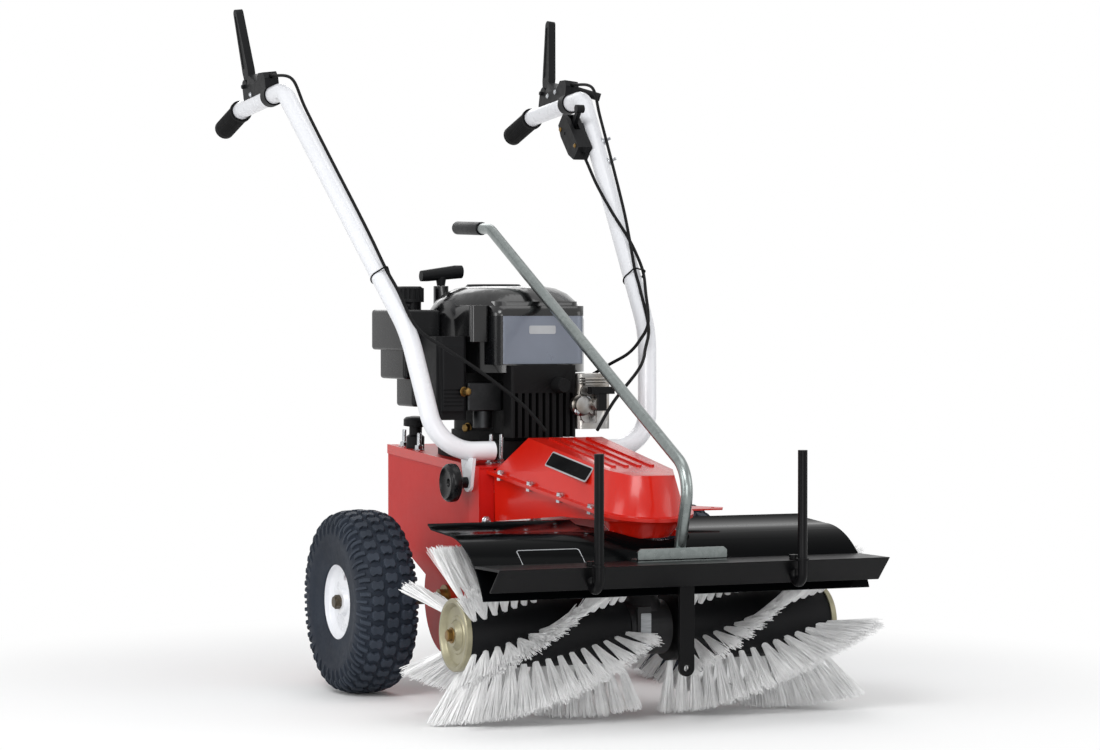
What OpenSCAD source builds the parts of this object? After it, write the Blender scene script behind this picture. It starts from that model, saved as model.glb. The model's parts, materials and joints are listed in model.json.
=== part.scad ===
/* [Stance] */
// Distance from the wheel axle back to the ends of the grips
grip_reach = 750; // [735:1:780]
// Distance from the wheel axle forward to the brush axis
brush_reach = 513; // [500:1:530]
// Height of the engine deck's top face
deck_z = 424; // [418:1:436]

/* [Wheels] */
// Outer diameter of the tyre
tyre_d = 330; // [310:1:350]
// Width of the tyre at its bulge
tyre_w = 110; // [96:1:120]
// Distance between the two tyres' middles
track = 622; // [596:1:640]
// Diameter of the rim where the tyre seats
rim_d = 144; // [130:1:160]
// Diameter of the half shafts
axle_d = 20; // [16:0.5:24]

/* [Brush] */
// Diameter over the bristle tips
brush_d = 300; // [290:1:310]
// Diameter of each drum
drum_d = 116; // [100:1:124]
// Outer end of each drum, from the middle of the machine
drum_end = 336; // [320:1:345]
// Inner end of each drum, from the middle of the machine
drum_start = 46; // [44:1:60]
// How far the end bristles lean out past the drum
bristle_lean = 52; // [30:1:60]
// Rows of bristles round a drum
bristle_rows = 6; // [4:1:6]
// Tufts in one row
bristle_tufts = 15; // [12:1:20]
// Turn of a row along the drum, in degrees
row_twist = 90; // [0:5:120]
// Diameter of the brush shaft
brush_shaft_d = 25; // [20:0.5:30]

/* [Brush head] */
// Clear gap between the bristle tips and the hood
hood_gap = 15; // [12:0.5:18]
// Length of the hood across the machine
hood_len = 712; // [660:1:720]
// Length of the bumper across the machine
bumper_len = 714; // [690:1:740]
// Thickness of the hood's and the chassis' sheet
sheet = 3; // [2:0.25:4]
// Distance between the two hook posts
post_span = 372; // [320:1:420]
// Diameter of a hook post's bar
post_d = 16; // [12:0.5:18]
// Height of the hook posts' tops
post_top = 456; // [420:1:500]
// Diameter of the swivel lever's tube
lever_d = 20; // [16:0.5:24]

/* [Chassis and belt housing] */
// Width across the two side panels
chassis_w = 290; // [280:1:296]
// Rear edge of the side panels, behind the axle
chassis_rear = 285; // [270:1:300]
// Front edge of the side panels, ahead of the axle
chassis_front = 153; // [145:1:160]
// Half-width of the belt housing at the chassis
housing_w = 232; // [220:1:240]
// Width of the belt housing's nose
nose_w = 150; // [144:1:160]
// Height of the cover above its flange
cover_h = 68; // [60:1:76]

/* [Engine] */
// Distance of the crankshaft behind the axle
crank_y = 62; // [50:1:75]
// Diameter of the blower housing
blower_d = 290; // [280:1:300]
// Height of the engine's top above the deck
engine_h = 307; // [296:1:316]

/* [Handlebar] */
// Diameter of the handlebar's tubes
tube_d = 34; // [30:0.5:36]
// Wall of the handlebar's tubes
tube_wall = 2.5; // [2:0.25:4]
// Distance between the two grips
grip_span = 626; // [600:1:660]
// Height of the handlebar's elbows
elbow_z = 1104; // [1060:1:1140]
// Length of a grip
grip_len = 112; // [100:1:130]
// Length of a hand lever's blade
hand_lever_len = 154; // [140:1:180]
// Diameter of a clamp knob
knob_d = 65; // [50:1:75]

/* [Hidden] */
$fn = 48;
seat = 0.3;
run = 0.05;

// Colours of the photographed machine
red = [0.80, 0.09, 0.06];
black = [0.06, 0.06, 0.07];
white = [0.93, 0.93, 0.93];
grey = [0.42, 0.45, 0.49];
steel = [0.66, 0.68, 0.70];
brass = [0.72, 0.62, 0.38];

// Places that several pieces share
axle_z = tyre_d / 2;
brush_z = brush_d / 2;
brush_y = -brush_reach;
hood_r = brush_d / 2 + hood_gap;
hood_top = brush_z + hood_r + sheet;
pan_z = hood_top + 15;
side_x = chassis_w / 2;
front_y = -chassis_front;

// The belt housing's flange plane falls from the chassis to the nose
flange_rear_z = deck_z - 24;
flange_nose_z = pan_z + 15;
nose_run = brush_reach - chassis_front;
flange_fall = atan2(flange_rear_z - flange_nose_z, nose_run);
flange_len = nose_run / cos(flange_fall);
flange_t = 3;
flange_rim = 14;
nose_r = nose_w / 2;
pan_rear_z = deck_z - 112;

// Belts and pulleys below the deck
belt_z = deck_z - 39;
wheel_belt_z = deck_z - 62;
crank_groove_r = 32;
brush_groove_r = 34;
gearbox_groove_r = 42;
belt_h = 9;
belt_t = 8;
pulley_h = 22;
gearbox_y = -75;

// Engine levels
block_top = deck_z + 160;
engine_top = deck_z + engine_h;
blower_r = blower_d / 2;
blower_wall = 4;

// Handlebar: knob pivot, leg and bends on the +X side
pivot = [0, front_y + 40, deck_z - 44];
leg_z = deck_z + 12;
leg_x = 206;
grip_x = grip_span / 2;
grip_droop = 17;
grip_r = tube_d / 2 + 3;
grip_y = grip_reach - grip_r * sin(grip_droop) - (grip_len + 4) * cos(grip_droop);
elbow_y = grip_y - 236.2;
wrist_z = elbow_z - 23;
tube_points = [
    [100, pivot.y, leg_z],
    [leg_x, pivot.y, leg_z],
    [leg_x + 31, pivot.y + 64, leg_z + 212],
    [grip_x, elbow_y, elbow_z],
    [grip_x, grip_y, wrist_z],
    [grip_x, grip_y + grip_len * cos(grip_droop), wrist_z - grip_len * sin(grip_droop)]
];
tube_bends = [0, 78, 170, 46, 90, 0];
lever_pivot = [grip_x, grip_y - 62, wrist_z + 42];
tube_u = (tube_points[4] - tube_points[3]) / norm(tube_points[4] - tube_points[3]);
lever_at = tube_points[3] + tube_u * ((lever_pivot.y - tube_points[3].y) / tube_u.y);
lever_splay = 6.5;
plug_t = 5;
lever_lean = 11;
foot_t = 6;

// Swivel lever in the middle plane, from its foot on the bumper to its grip
shelf_z = brush_z + 123;
lever_points = [
    [0, brush_y - 141, shelf_z + 4],
    [0, brush_y - 185, shelf_z + 145],
    [0, 134, shelf_z + 566],
    [0, 288, shelf_z + 571]
];
lever_bends = [0, 60, 60, 0];
lever_u = (lever_points[3] - lever_points[2]) / norm(lever_points[3] - lever_points[2]);

// Throttle box on the inner side of the left tube, in its own tilted frame
run_u = (tube_points[3] - tube_points[2]) / norm(tube_points[3] - tube_points[2]);
function on_tube(t) = tube_points[2] + (tube_points[3] - tube_points[2]) * t;
box_at = on_tube(0.845) + [-37, 0, -10];
box_tilt = atan2(run_u.y, run_u.z);
throttle_pin = [0, 6, 18];
cable_port = [0, -4, -44];
function box_point(p) = box_at + [p.x, p.y * cos(box_tilt) + p.z * sin(box_tilt), p.z * cos(box_tilt) - p.y * sin(box_tilt)];

// A point turned about the tube's axis with the hand lever
function splay_point(p) = let (v = p - lever_at)
    lever_at + v * cos(lever_splay) + cross(tube_u, v) * sin(lever_splay)
    + tube_u * (tube_u * v) * (1 - cos(lever_splay));

// A point beside the tube's upper run: out is the way round, 0 outwards and 90 to the front
function beside(t, r, out) = on_tube(t) + r * ([1, 0, 0] * cos(out)
    + [0, -run_u.z, run_u.y] / norm([run_u.y, run_u.z]) * sin(out));

// Cable routes, +X side; the right side mirrors the clutch cable
cable_d = 6;
clutch_route = [
    splay_point(lever_pivot + [0, -104, 12]), splay_point(lever_pivot + [0, -136, 12]), beside(0.97, 46, 88),
    beside(0.85, 42, 86), beside(0.65, 39, 86), beside(0.45, 36, 88), beside(0.33, 31, 92), beside(0.216, 24, 98),
    beside(0.13, 25, 100), [230, -69, 657], [197, -125, 619], [159, -178, 583], [91, -213, 524], [50, -231, 474]
];
throttle_route = [
    box_point(cable_port), box_point(cable_port - [0, 0, 36]), beside(0.6, 25, 165), beside(0.47, 23, 130),
    beside(0.36, 23, 90), beside(0.29, 23, 64), beside(0.216, 24, 50), beside(0.12, 27, 80), [222, -84, 664],
    [200, -94, 632], [179, -89, 608], [152, -66, 588], [134, -23, 566.8]
];

// Helpers
function unit(v) = v / norm(v);
function turn(u, w) = acos(min(1, max(-1, u * w)));
function lerp(a, b, t) = a + (b - a) * t;

// A straight round bar between two points
module bar(a, b, d) {
    v = b - a;
    translate(a) rotate([0, acos(v.z / norm(v)), atan2(v.y, v.x)]) cylinder(d = d, h = norm(v));
}

// Points and headings round corner p, arriving along u and leaving along w
function bend(p, u, w, r, step) =
    let (angle = turn(u, w), centre = p + unit(w - u) * r / cos(angle / 2),
         ax = unit(p - u * r * tan(angle / 2) - centre), ay = cross(unit(cross(u, w)), ax), n = ceil(angle / step))
    [for (i = [0 : n]) let (a = angle * i / n) [centre + r * (ax * cos(a) + ay * sin(a)), ay * cos(a) - ax * sin(a)]];

// A path along corner points, each corner bent to its own radius
function bent_path(p, r, step) =
    let (n = len(p), u = [for (i = [0 : n - 2]) unit(p[i + 1] - p[i])])
    concat([[p[0], u[0]]], [for (i = [1 : n - 2]) each bend(p[i], u[i - 1], u[i], r[i], step)], [[p[n - 1], u[n - 2]]]);

// The side direction of each ring, carried along the path without twist
function carried(path, first) =
    [for (i = 0, b = first; i < len(path);
          i = i + 1, b = i < len(path) ? unit(b - path[i][1] * (b * path[i][1])) : b) b];

// Triangles between two rings of a skin, and across a pair of rings
function band(p, q, sides) =
    [for (k = [0 : sides - 1]) let (j = (k + 1) % sides) each [[p + k, q + j, p + j], [p + k, q + k, q + j]]];

// A tube swept along a bent path; with no wall it is a solid bar
module swept(path, first, d, wall, sides) {
    side = carried(path, first);
    last = len(path) - 1;
    function ring(i, r) = let (b = cross(path[i][1], side[i]))
        [for (k = [0 : sides - 1]) path[i][0] + r * (side[i] * cos(360 * k / sides) + b * sin(360 * k / sides))];
    outer = [for (i = [0 : last]) each ring(i, d / 2)];
    inner = [for (i = [0 : last]) each ring(i, d / 2 - wall)];
    skin = [for (i = [0 : last - 1]) each band(i * sides, (i + 1) * sides, sides)];
    far = last * sides;
    if (wall > 0) {
        core = len(outer);
        bore = [for (i = [0 : last - 1]) each band(core + (i + 1) * sides, core + i * sides, sides)];
        polyhedron(concat(outer, inner), concat(skin, bore, band(core, 0, sides), band(far, core + far, sides)));
    } else
        polyhedron(outer, concat(skin, [[for (k = [0 : sides - 1]) k], [for (k = [sides - 1 : -1 : 0]) far + k]]));
}

// A solid of revolution about the X axis, drawn as [along x, radius]
module spin_x() {
    rotate([90, 0, 90]) rotate_extrude() rotate(90) mirror([0, 1]) children();
}

// A profile drawn as [y, z], extruded along X and centred
module across(w) {
    rotate([90, 0, 90]) linear_extrude(w, center = true) children();
}

// A rectangle with rounded corners, from a to b
module rounded(a, b, r) {
    translate(a + [r, 0]) square([b.x - a.x - 2 * r, b.y - a.y]);
    translate(a + [0, r]) square([b.x - a.x, b.y - a.y - 2 * r]);
    for (x = [a.x + r, b.x - r], y = [a.y + r, b.y - r])
        translate([x, y]) circle(r);
}

// A box with rounded upright edges, from a to b
module block(a, b, r) {
    translate([0, 0, a.z]) linear_extrude(b.z - a.z) rounded([a.x, a.y], [b.x, b.y], r);
}

// A strip of sheet between two profile points
module strip(p, q, t) {
    v = q - p;
    translate(p) rotate(atan2(v.y, v.x)) translate([0, -t / 2]) square([norm(v), t]);
}

module both_sides() {
    children();
    mirror([1, 0, 0]) children();
}

// A tube swept through hand-chosen points
function spline(p, t) =
    let (n = len(p), i = min(n - 2, floor(t)), f = t - i,
         a = p[max(0, i - 1)], b = p[i], c = p[i + 1], d = p[min(n - 1, i + 2)])
    0.5 * (2 * b + (c - a) * f + (2 * a - 5 * b + 4 * c - d) * f * f + (3 * b - a - 3 * c + d) * f * f * f);

module cable(route, d, rings) {
    sides = 8;
    span = len(route) - 1;
    mid = [for (i = [0 : rings]) spline(route, span * i / rings)];
    way = [for (i = [0 : rings]) unit(mid[min(rings, i + 1)] - mid[max(0, i - 1)])];
    ring = [for (i = [0 : rings])
        let (b = unit(cross(way[i], [1, 0, 0])), a = cross(b, way[i]))
        for (k = [0 : sides - 1]) mid[i] + d / 2 * (a * cos(360 * k / sides) + b * sin(360 * k / sides))];
    skin = [for (i = [0 : rings - 1], k = [0 : sides - 1])
        let (j = (k + 1) % sides, p = i * sides, q = p + sides)
        each [[p + k, q + j, p + j], [p + k, q + k, q + j]]];
    ends = [[for (k = [0 : sides - 1]) k], [for (k = [sides - 1 : -1 : 0]) rings * sides + k]];
    polyhedron([for (p = ring) p], concat(skin, ends));
}

// Chassis: folded red sheet on the axle
module side_outline() {
    lobe_r = 104;
    turn_r = lobe_r - 6;
    rear_turn = [turn_r * cos(20), axle_z + turn_r * sin(20)];
    front_turn = [-turn_r * cos(12), axle_z + turn_r * sin(12)];
    polygon([
        [chassis_rear, deck_z + 10], [front_y, deck_z - 15], [front_y, pan_rear_z - 10],
        front_turn, [0, axle_z], rear_turn, [chassis_rear, deck_z - 150]
    ]);
    translate([0, axle_z]) circle(lobe_r);
}

// The deck falls from the rear panel to the front
deck_fall = atan2(25, chassis_rear + chassis_front);
module deck_frame() {
    translate([0, chassis_rear, deck_z + 9.5]) rotate([deck_fall, 0, 0]) children();
}

module chassis_frame() {
    deck_len = (chassis_rear + chassis_front) / cos(deck_fall);
    color(red) difference() {
        union() {
            both_sides() {
                translate([side_x - sheet / 2, 0, 0]) across(sheet) side_outline();
                // Front flange column
                translate([side_x - 29, front_y + 0.2, pan_rear_z - 9]) cube([28, sheet, deck_z - 10 - pan_rear_z]);
            }
            deck_frame() translate([1 - side_x, 1 - deck_len, -sheet]) cube([chassis_w - 2, deck_len - 2, sheet]);
            translate([1 - side_x, chassis_rear - sheet - 0.5, deck_z - 148]) cube([chassis_w - 2, sheet, 156]);
        }
        translate([0, crank_y, deck_z - 20]) cylinder(d = 90, h = 40);
        both_sides() {
            translate([side_x - 20, 0, axle_z]) rotate([0, 90, 0]) cylinder(d = axle_d + 12 + 2 * run, h = 40);
            translate([side_x - 10, pivot.y, pivot.z]) rotate([0, 90, 0]) cylinder(d = 10.6, h = 20);
        }
    }
}

// Belt housing, in a frame that lies in its flange plane
module flange_frame() {
    translate([0, front_y, flange_rear_z]) rotate([flange_fall, 0, 0]) children();
}

module plan(grow, rear = 0) {
    w = housing_w / 2 + grow;
    n = nose_r + grow;
    polygon([[-w, rear], [w, rear], [n, -flange_len], [-n, -flange_len]]);
    translate([0, -flange_len]) circle(n);
}

module pan_body(grow, spare = 0) {
    intersection() {
        flange_frame() translate([0, 0, -120]) linear_extrude(120 + spare) plan(grow, spare);
        across(2 * housing_w) polygon([
            [front_y + spare, pan_rear_z - grow], [front_y, pan_rear_z - grow], [brush_y + 130, pan_z - grow],
            [brush_y - nose_w, pan_z - grow], [brush_y - nose_w, 2 * deck_z], [front_y + spare, 2 * deck_z]
        ]);
    }
}

bolt_steps = [0.1, 0.38, 0.66, 0.94];
module at_flange_bolts() {
    flange_frame()
        for (side = [-1, 1], t = bolt_steps)
            translate([side * (lerp(housing_w, nose_w, t) / 2 + flange_rim / 2), -t * flange_len, 0]) children();
}

tensioner_pin = [66, brush_y + 213];
tensioner_floor = lerp(pan_rear_z, pan_z, (front_y - tensioner_pin.y) / (front_y - brush_y - 130)) + 1;
module lower_housing() {
    color(red) difference() {
        union() {
            difference() {
                pan_body(0);
                pan_body(-sheet, 6);
            }
            flange_frame() translate([0, 0, -flange_t]) linear_extrude(flange_t) {
                difference() {
                    plan(flange_rim);
                    plan(-sheet / 2);
                }
                // Latch tab on the left of the nose
                difference() {
                    polygon([[nose_r, 40 - flange_len], [nose_r + 86, 10 - flange_len], [nose_r + 80, -flange_len],
                        [nose_r, -flange_len]]);
                    plan(-sheet / 2);
                    translate([nose_r + 66, 10 - flange_len]) circle(d = 6);
                }
            }
            translate([0, brush_y, pan_z + 0.5]) cylinder(d = 90, h = 8);
            translate([tensioner_pin.x, tensioner_pin.y, tensioner_floor])
                cylinder(d = 12, h = belt_z + 7 - tensioner_floor);
        }
        translate([0, brush_y, pan_z - 10]) cylinder(d = 60 + 2 * run, h = 40);
        at_flange_bolts() translate([0, 0, -20]) cylinder(d = 6.4, h = 40);
        translate([-housing_w, front_y, 0]) cube([2 * housing_w, 100, 2 * deck_z]);
    }
}

module cover_form(grow) {
    rise = cover_h + grow;
    top_w = housing_w * 0.31;
    hull() {
        linear_extrude(0.1) plan(grow, grow);
        translate([0, 0, rise - 0.1]) linear_extrude(0.1) polygon([
            [-top_w - grow, -42 + grow], [top_w + grow, -42 + grow], [nose_r * 0.8 + grow, -flange_len + 10],
            [nose_r * 0.5, -flange_len - nose_r * 0.56 - grow], [-nose_r * 0.5, -flange_len - nose_r * 0.56 - grow],
            [-nose_r * 0.8 - grow, -flange_len + 10]
        ]);
    }
}

module belt_cover() {
    color(red) difference() {
        union() {
            flange_frame() {
                difference() {
                    cover_form(0);
                    translate([0, 0, -0.1]) cover_form(-sheet);
                }
                linear_extrude(flange_t) difference() {
                    plan(flange_rim);
                    plan(-sheet);
                }
                // Pressed ribs along the top
                for (x = [-40, -16, 8, 32])
                    translate([x, -flange_len + 40, cover_h - 1]) linear_extrude(4)
                        rounded([0, 0], [9, flange_len - 96], 4.4);
            }
        }
        at_flange_bolts() translate([0, 0, -20]) cylinder(d = 6.4, h = 40);
        translate([-housing_w, front_y, 0]) cube([2 * housing_w, 100, 2 * deck_z]);
    }
}

module cover_bolts() {
    color(steel) at_flange_bolts() {
        translate([0, 0, -flange_t - 5]) cylinder(d = 6, h = 2 * flange_t + 10);
        translate([0, 0, flange_t]) cylinder(d = 13, h = 1.5);
        translate([0, 0, flange_t]) cylinder(d = 12, h = 6, $fn = 6);
        translate([0, 0, -flange_t - 5]) cylinder(d = 13, h = 5, $fn = 6);
    }
}

// Wheel drive on the axle
module axle_bushes() {
    color(brass) both_sides() translate([0, 0, axle_z]) rotate([0, 90, 0]) difference() {
        union() {
            translate([0, 0, side_x - 15]) cylinder(d = axle_d + 12, h = 30);
            translate([0, 0, side_x]) cylinder(d = axle_d + 28, h = 4);
        }
        translate([0, 0, side_x - 20]) cylinder(d = axle_d + 2 * run, h = 40);
    }
}

module wheel_gearbox() {
    color(black) difference() {
        union() {
            across(120) rounded([gearbox_y - 35, axle_z - 70], [70, axle_z + 70], 22);
            translate([0, gearbox_y, axle_z + 65]) cylinder(d = 44, h = 20);
            translate([-side_x + 15 + seat, 0, axle_z]) rotate([0, 90, 0])
                cylinder(d = axle_d + 18, h = chassis_w - 30 - 2 * seat);
        }
        both_sides() translate([25, 0, axle_z]) rotate([0, 90, 0]) cylinder(d = axle_d + 2 * run, h = side_x);
        translate([0, gearbox_y, axle_z + 20]) cylinder(d = 20 + 2 * run, h = 80);
    }
}

// Engine with a vertical crankshaft, over the deck
module engine_block() {
    color(black) difference() {
        union() {
            translate([0, crank_y, deck_z]) {
                translate([0, 0, -14]) cylinder(d = 250, h = 40);
                cylinder(d = 190, h = 152);
                translate([0, 0, block_top - deck_z - 10]) cylinder(r = blower_r - blower_wall - seat, h = 12);
                cylinder(d = 200, h = 44);
            }
            block([-58, -72, deck_z + 40], [58, crank_y, deck_z + 149.5], 6);
            translate([50, -30, deck_z + 134]) cube([90, 14, 5]);
            // Oil filler on the rear left
            translate([98, crank_y + 66, deck_z + 10]) cylinder(d = 34, h = 46);
        }
        deck_frame() translate([-300, -700, -100]) cube([600, 1400, 100.05]);
        translate([0, crank_y, deck_z - 30]) cylinder(d = 25 + 2 * run, h = 100);
        translate([98, crank_y + 66, deck_z + 40]) cylinder(d = 20.4, h = 40);
    }
}

module cylinder_head() {
    slots = 9;
    color(black) difference() {
        union() {
            block([-64, -112, deck_z + 34], [64, -72 - seat, deck_z + 149], 5);
            block([-64, -112, deck_z + 140], [64, -85, block_top + 4], 5);
        }
        for (i = [0 : slots - 1])
            translate([lerp(-54, 54, i / (slots - 1)) - 3, -130, deck_z + 30]) cube([6, 40, 84]);
        translate([26, -100, deck_z + 128]) rotate([90, 0, 0]) cylinder(d = 16.4, h = 30);
    }
}

module dome_profile(grow) {
    r = blower_r + grow;
    top = engine_top - deck_z - 150 + grow;
    polygon([
        [0, -0.1], [r, -0.1], [r, top - 62], [r - 5, top - 44], [r - 16, top - 27], [r - 32, top - 13],
        [r - 52, top - 4], [r - 72, top], [0, top]
    ]);
}

rope_post = [-104, crank_y + 60];
module blower_housing() {
    color(black) difference() {
        union() {
            translate([0, crank_y, deck_z + 150]) difference() {
                rotate_extrude() dome_profile(0);
                translate([0, 0, -1]) rotate_extrude() dome_profile(-blower_wall);
            }
            translate([rope_post.x, rope_post.y, engine_top - 60]) cylinder(d = 28, h = 61);
            // Side band that runs from the dome to the front shroud
            difference() {
                block([-128, -76, block_top + 46], [-90 - seat, crank_y, block_top + 112], 8);
                translate([0, crank_y, 0]) cylinder(r = blower_r - 1, h = 2 * deck_z);
            }
        }
        translate([rope_post.x, rope_post.y, deck_z]) cylinder(d = 5, h = 400);
    }
}

module engine_shroud() {
    color(grey) difference() {
        union() {
            translate([0, 0, block_top + 6]) linear_extrude(104) rounded([-90, -100], [90, crank_y], 20);
            translate([0, 0, block_top + 110]) linear_extrude(8) rounded([-80, -90], [80, crank_y], 16);
        }
        translate([0, crank_y, deck_z]) cylinder(r = blower_r + seat, h = 500);
        translate([0, 0, block_top]) linear_extrude(106) rounded([-86, -96], [86, crank_y + 20], 17);
    }
}

module starter_screen() {
    spokes = 18;
    color(black) translate([-18, crank_y + 14, engine_top]) difference() {
        cylinder(d1 = 104, d2 = 96, h = 4);
        for (i = [0 : spokes - 1])
            rotate(360 * i / spokes) translate([18, -2.5, 1.5]) cube([26, 5, 20]);
        translate([0, 0, 2.5]) cylinder(d = 22, h = 10);
        translate([rope_post.x + 18, rope_post.y - crank_y - 14, -1]) cylinder(d = 30, h = 20);
    }
}

cap_at = [-170, crank_y + 53];
tank_top = deck_z + 264;
module fuel_tank() {
    color(black) difference() {
        union() {
            block([-213, crank_y - 32, deck_z + 190], [-96, crank_y + 143, tank_top], 14);
            block([-203, crank_y - 4, deck_z + 137], [-100, crank_y + 120, deck_z + 196], 8);
            block([-177, crank_y + 18, deck_z + 86], [-104, crank_y + 104, deck_z + 142], 8);
            translate([cap_at.x, cap_at.y, tank_top - 10]) cylinder(d = 44, h = 30);
        }
        translate([0, crank_y, deck_z - 10]) cylinder(r = blower_r + seat, h = 500);
    }
    // Foot that bolts to the crankcase
    color(black) difference() {
        translate([-160, crank_y + 30, deck_z + 90]) cube([80, 60, 36]);
        translate([0, crank_y, deck_z - 10]) cylinder(d = 190 + 2 * seat, h = 500);
    }
}

module fuel_cap() {
    ribs = 20;
    color(black) translate([cap_at.x, cap_at.y, tank_top + 20 - 6]) difference() {
        union() {
            cylinder(d = 54, h = 26);
            translate([0, 0, 26]) cylinder(d1 = 50, d2 = 42, h = 3);
        }
        translate([0, 0, -1]) cylinder(d = 44 + 2 * seat, h = 7 + seat);
        for (i = [0 : ribs - 1])
            rotate(360 * i / ribs) translate([27, 0, 6]) cylinder(d = 4, h = 18, $fn = 16);
    }
}

module oil_cap() {
    color(black) translate([98, crank_y + 66, deck_z + 56 + seat]) {
        cylinder(d = 36, h = 10);
        translate([0, 0, -14]) cylinder(d = 20, h = 14);
        translate([-17, -4, 10]) cube([34, 8, 9]);
    }
}

module air_filter() {
    color(black) difference() {
        union() {
            block([-188, -66, deck_z + 66], [-130, 22, deck_z + 216], 10);
            block([-182, -72, deck_z + 82], [-137, -60, deck_z + 196], 5);
        }
        translate([0, crank_y, deck_z + 149]) cylinder(r = blower_r + seat, h = 100);
        for (i = [0 : 4])
            translate([-179, -75, deck_z + 90 + 7 * i]) cube([43, 6, 3]);
    }
}

module carburettor() {
    color(grey) {
        block([-130 + seat, -62, deck_z + 82], [-58 - seat, -26, deck_z + 132], 6);
        translate([-92, -44, deck_z + 50]) cylinder(d = 34, h = 40);
    }
}

muffler_box = [[64 + seat, -114, deck_z + 48], [134, -34, deck_z + 148]];
module muffler() {
    color(steel) difference() {
        block(muffler_box[0], muffler_box[1], 14);
        // Hollow shell with its outlet in the left side
        block(muffler_box[0] + [2, 2, 2], muffler_box[1] - [2, 2, 2], 12);
        translate([120, -70, deck_z + 76]) rotate([0, 90, 0]) cylinder(d = 20, h = 30);
        for (z = [66, 102])
            translate([0, -110, deck_z + z]) rotate([0, 90, 0])
                linear_extrude(200) rounded([-3, -10], [3, -2], 2.9);
    }
}

module muffler_guard() {
    color(steel) translate([98, -115, deck_z + 94]) rotate([90, 0, 0]) {
        translate([-28, -34, 0]) linear_extrude(5) rounded([0, 0], [56, 68], 12);
        cylinder(d = 44, h = 15);
        cylinder(d = 26, h = 30);
        translate([-7, -34, 20]) cube([14, 34, 8]);
        for (z = [-26, 26])
            translate([0, z, seat - 1]) cylinder(d = 6, h = 3);
    }
}

module spark_plug() {
    color(black) translate([26, -112, deck_z + 128]) rotate([90, 0, 0]) {
        translate([0, 0, -8]) cylinder(d = 16, h = 14);
        translate([0, 0, seat]) cylinder(d = 21, h = 8, $fn = 6);
        translate([0, 0, 6]) cylinder(d1 = 30, d2 = 24, h = 26);
    }
}

module starter_handle() {
    color(black) translate([rope_post.x, rope_post.y, engine_top + 1 + seat]) {
        difference() {
            union() {
                cylinder(d1 = 15, d2 = 20, h = 16);
                hull() {
                    translate([-34, 0, 18]) rotate([0, 90, 0]) cylinder(d = 20, h = 12, center = true, $fn = 24);
                    translate([34, 0, 26]) rotate([0, 90, 0]) cylinder(d = 24, h = 14, center = true, $fn = 24);
                }
            }
            translate([0, 0, -1]) cylinder(d = 5, h = 15);
        }
    }
}

module starter_rope() {
    color(white) translate([rope_post.x, rope_post.y, engine_top - 40]) cylinder(d = 4, h = 53);
}

// Belts and pulleys under the deck
module pulley(r, h, bore) {
    difference() {
        rotate_extrude() polygon([
            [bore / 2, 0], [r + 8, 0], [r + 8, 3], [r - seat, h / 2 - belt_h / 2 - seat],
            [r - seat, h / 2 + belt_h / 2 + seat], [r + 8, h - 3], [r + 8, h], [bore / 2, h]
        ]);
    }
}

module crank_pulley() {
    color(steel) translate([0, crank_y, 0]) {
        translate([0, 0, belt_z - pulley_h / 2]) pulley(crank_groove_r, pulley_h, 20);
        translate([0, 0, wheel_belt_z - pulley_h / 2]) pulley(crank_groove_r, pulley_h, 20);
        translate([0, 0, wheel_belt_z - 18]) cylinder(d = 25, h = deck_z + 60 - wheel_belt_z);
    }
}

module belt(y1, r1, y2, r2) {
    module loop(extra) {
        hull() {
            translate([0, y1]) circle(r1 + extra, $fn = 64);
            translate([0, y2]) circle(r2 + extra, $fn = 64);
        }
    }
    linear_extrude(belt_h, center = true) difference() {
        loop(belt_t);
        loop(seat);
    }
}

module drive_belts() {
    color(black) {
        translate([0, 0, belt_z]) belt(crank_y, crank_groove_r, brush_y, brush_groove_r);
        translate([0, 0, wheel_belt_z]) belt(crank_y, crank_groove_r, gearbox_y, gearbox_groove_r);
    }
}

module gearbox_pulley() {
    color(steel) translate([0, gearbox_y, 0]) {
        translate([0, 0, wheel_belt_z - pulley_h / 2]) pulley(gearbox_groove_r, pulley_h, 16);
        translate([0, 0, axle_z + 25]) cylinder(d = 20, h = wheel_belt_z + 8 - axle_z - 25);
    }
}

idler_d = 34;
idler_play = 6;
idler_y = tensioner_pin.y + 62;
idler_x = lerp(crank_groove_r, brush_groove_r, (crank_y - idler_y) / (crank_y - brush_y)) + belt_t
    + idler_d / 2 + idler_play;
module belt_tensioner() {
    color(steel) difference() {
        union() {
            translate([0, 0, belt_z - 17]) linear_extrude(5) {
                translate(tensioner_pin) circle(d = 22);
                translate([idler_x, idler_y]) circle(d = 20);
                strip(tensioner_pin, [idler_x, idler_y], 14);
            }
            translate([tensioner_pin.x, tensioner_pin.y, belt_z - 17]) cylinder(d = 20, h = 22);
            translate([idler_x, idler_y, belt_z - 13]) cylinder(d = 12, h = 20);
            translate([idler_x, idler_y, belt_z - 9]) cylinder(d = idler_d, h = 14);
        }
        translate([tensioner_pin.x, tensioner_pin.y, belt_z - 40]) cylinder(d = 12 + 2 * run, h = 80);
    }
}

// Handlebar, drawn on the +X side
module handle_tube() {
    color(white) {
        swept(bent_path(tube_points, tube_bends, 15), [0, 0, 1], tube_d, tube_wall, 20);
        // Foot plate, welded under the leg
        difference() {
            translate([side_x + seat + foot_t / 2, pivot.y, 0]) across(foot_t) {
                polygon([[-28, leg_z - 12], [28, leg_z - 12], [17, pivot.z], [-17, pivot.z]]);
                translate([0, pivot.z]) circle(17);
            }
            translate([0, pivot.y, leg_z]) rotate([0, 90, 0]) cylinder(d = tube_d - 1, h = 2 * side_x);
            translate([0, pivot.y, pivot.z]) rotate([0, 90, 0]) cylinder(d = 10 + 2 * run, h = 2 * side_x);
        }
    }
}

module handle_tube_left() {
    handle_tube();
}

module handle_tube_right() {
    mirror([1, 0, 0]) handle_tube();
}

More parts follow.
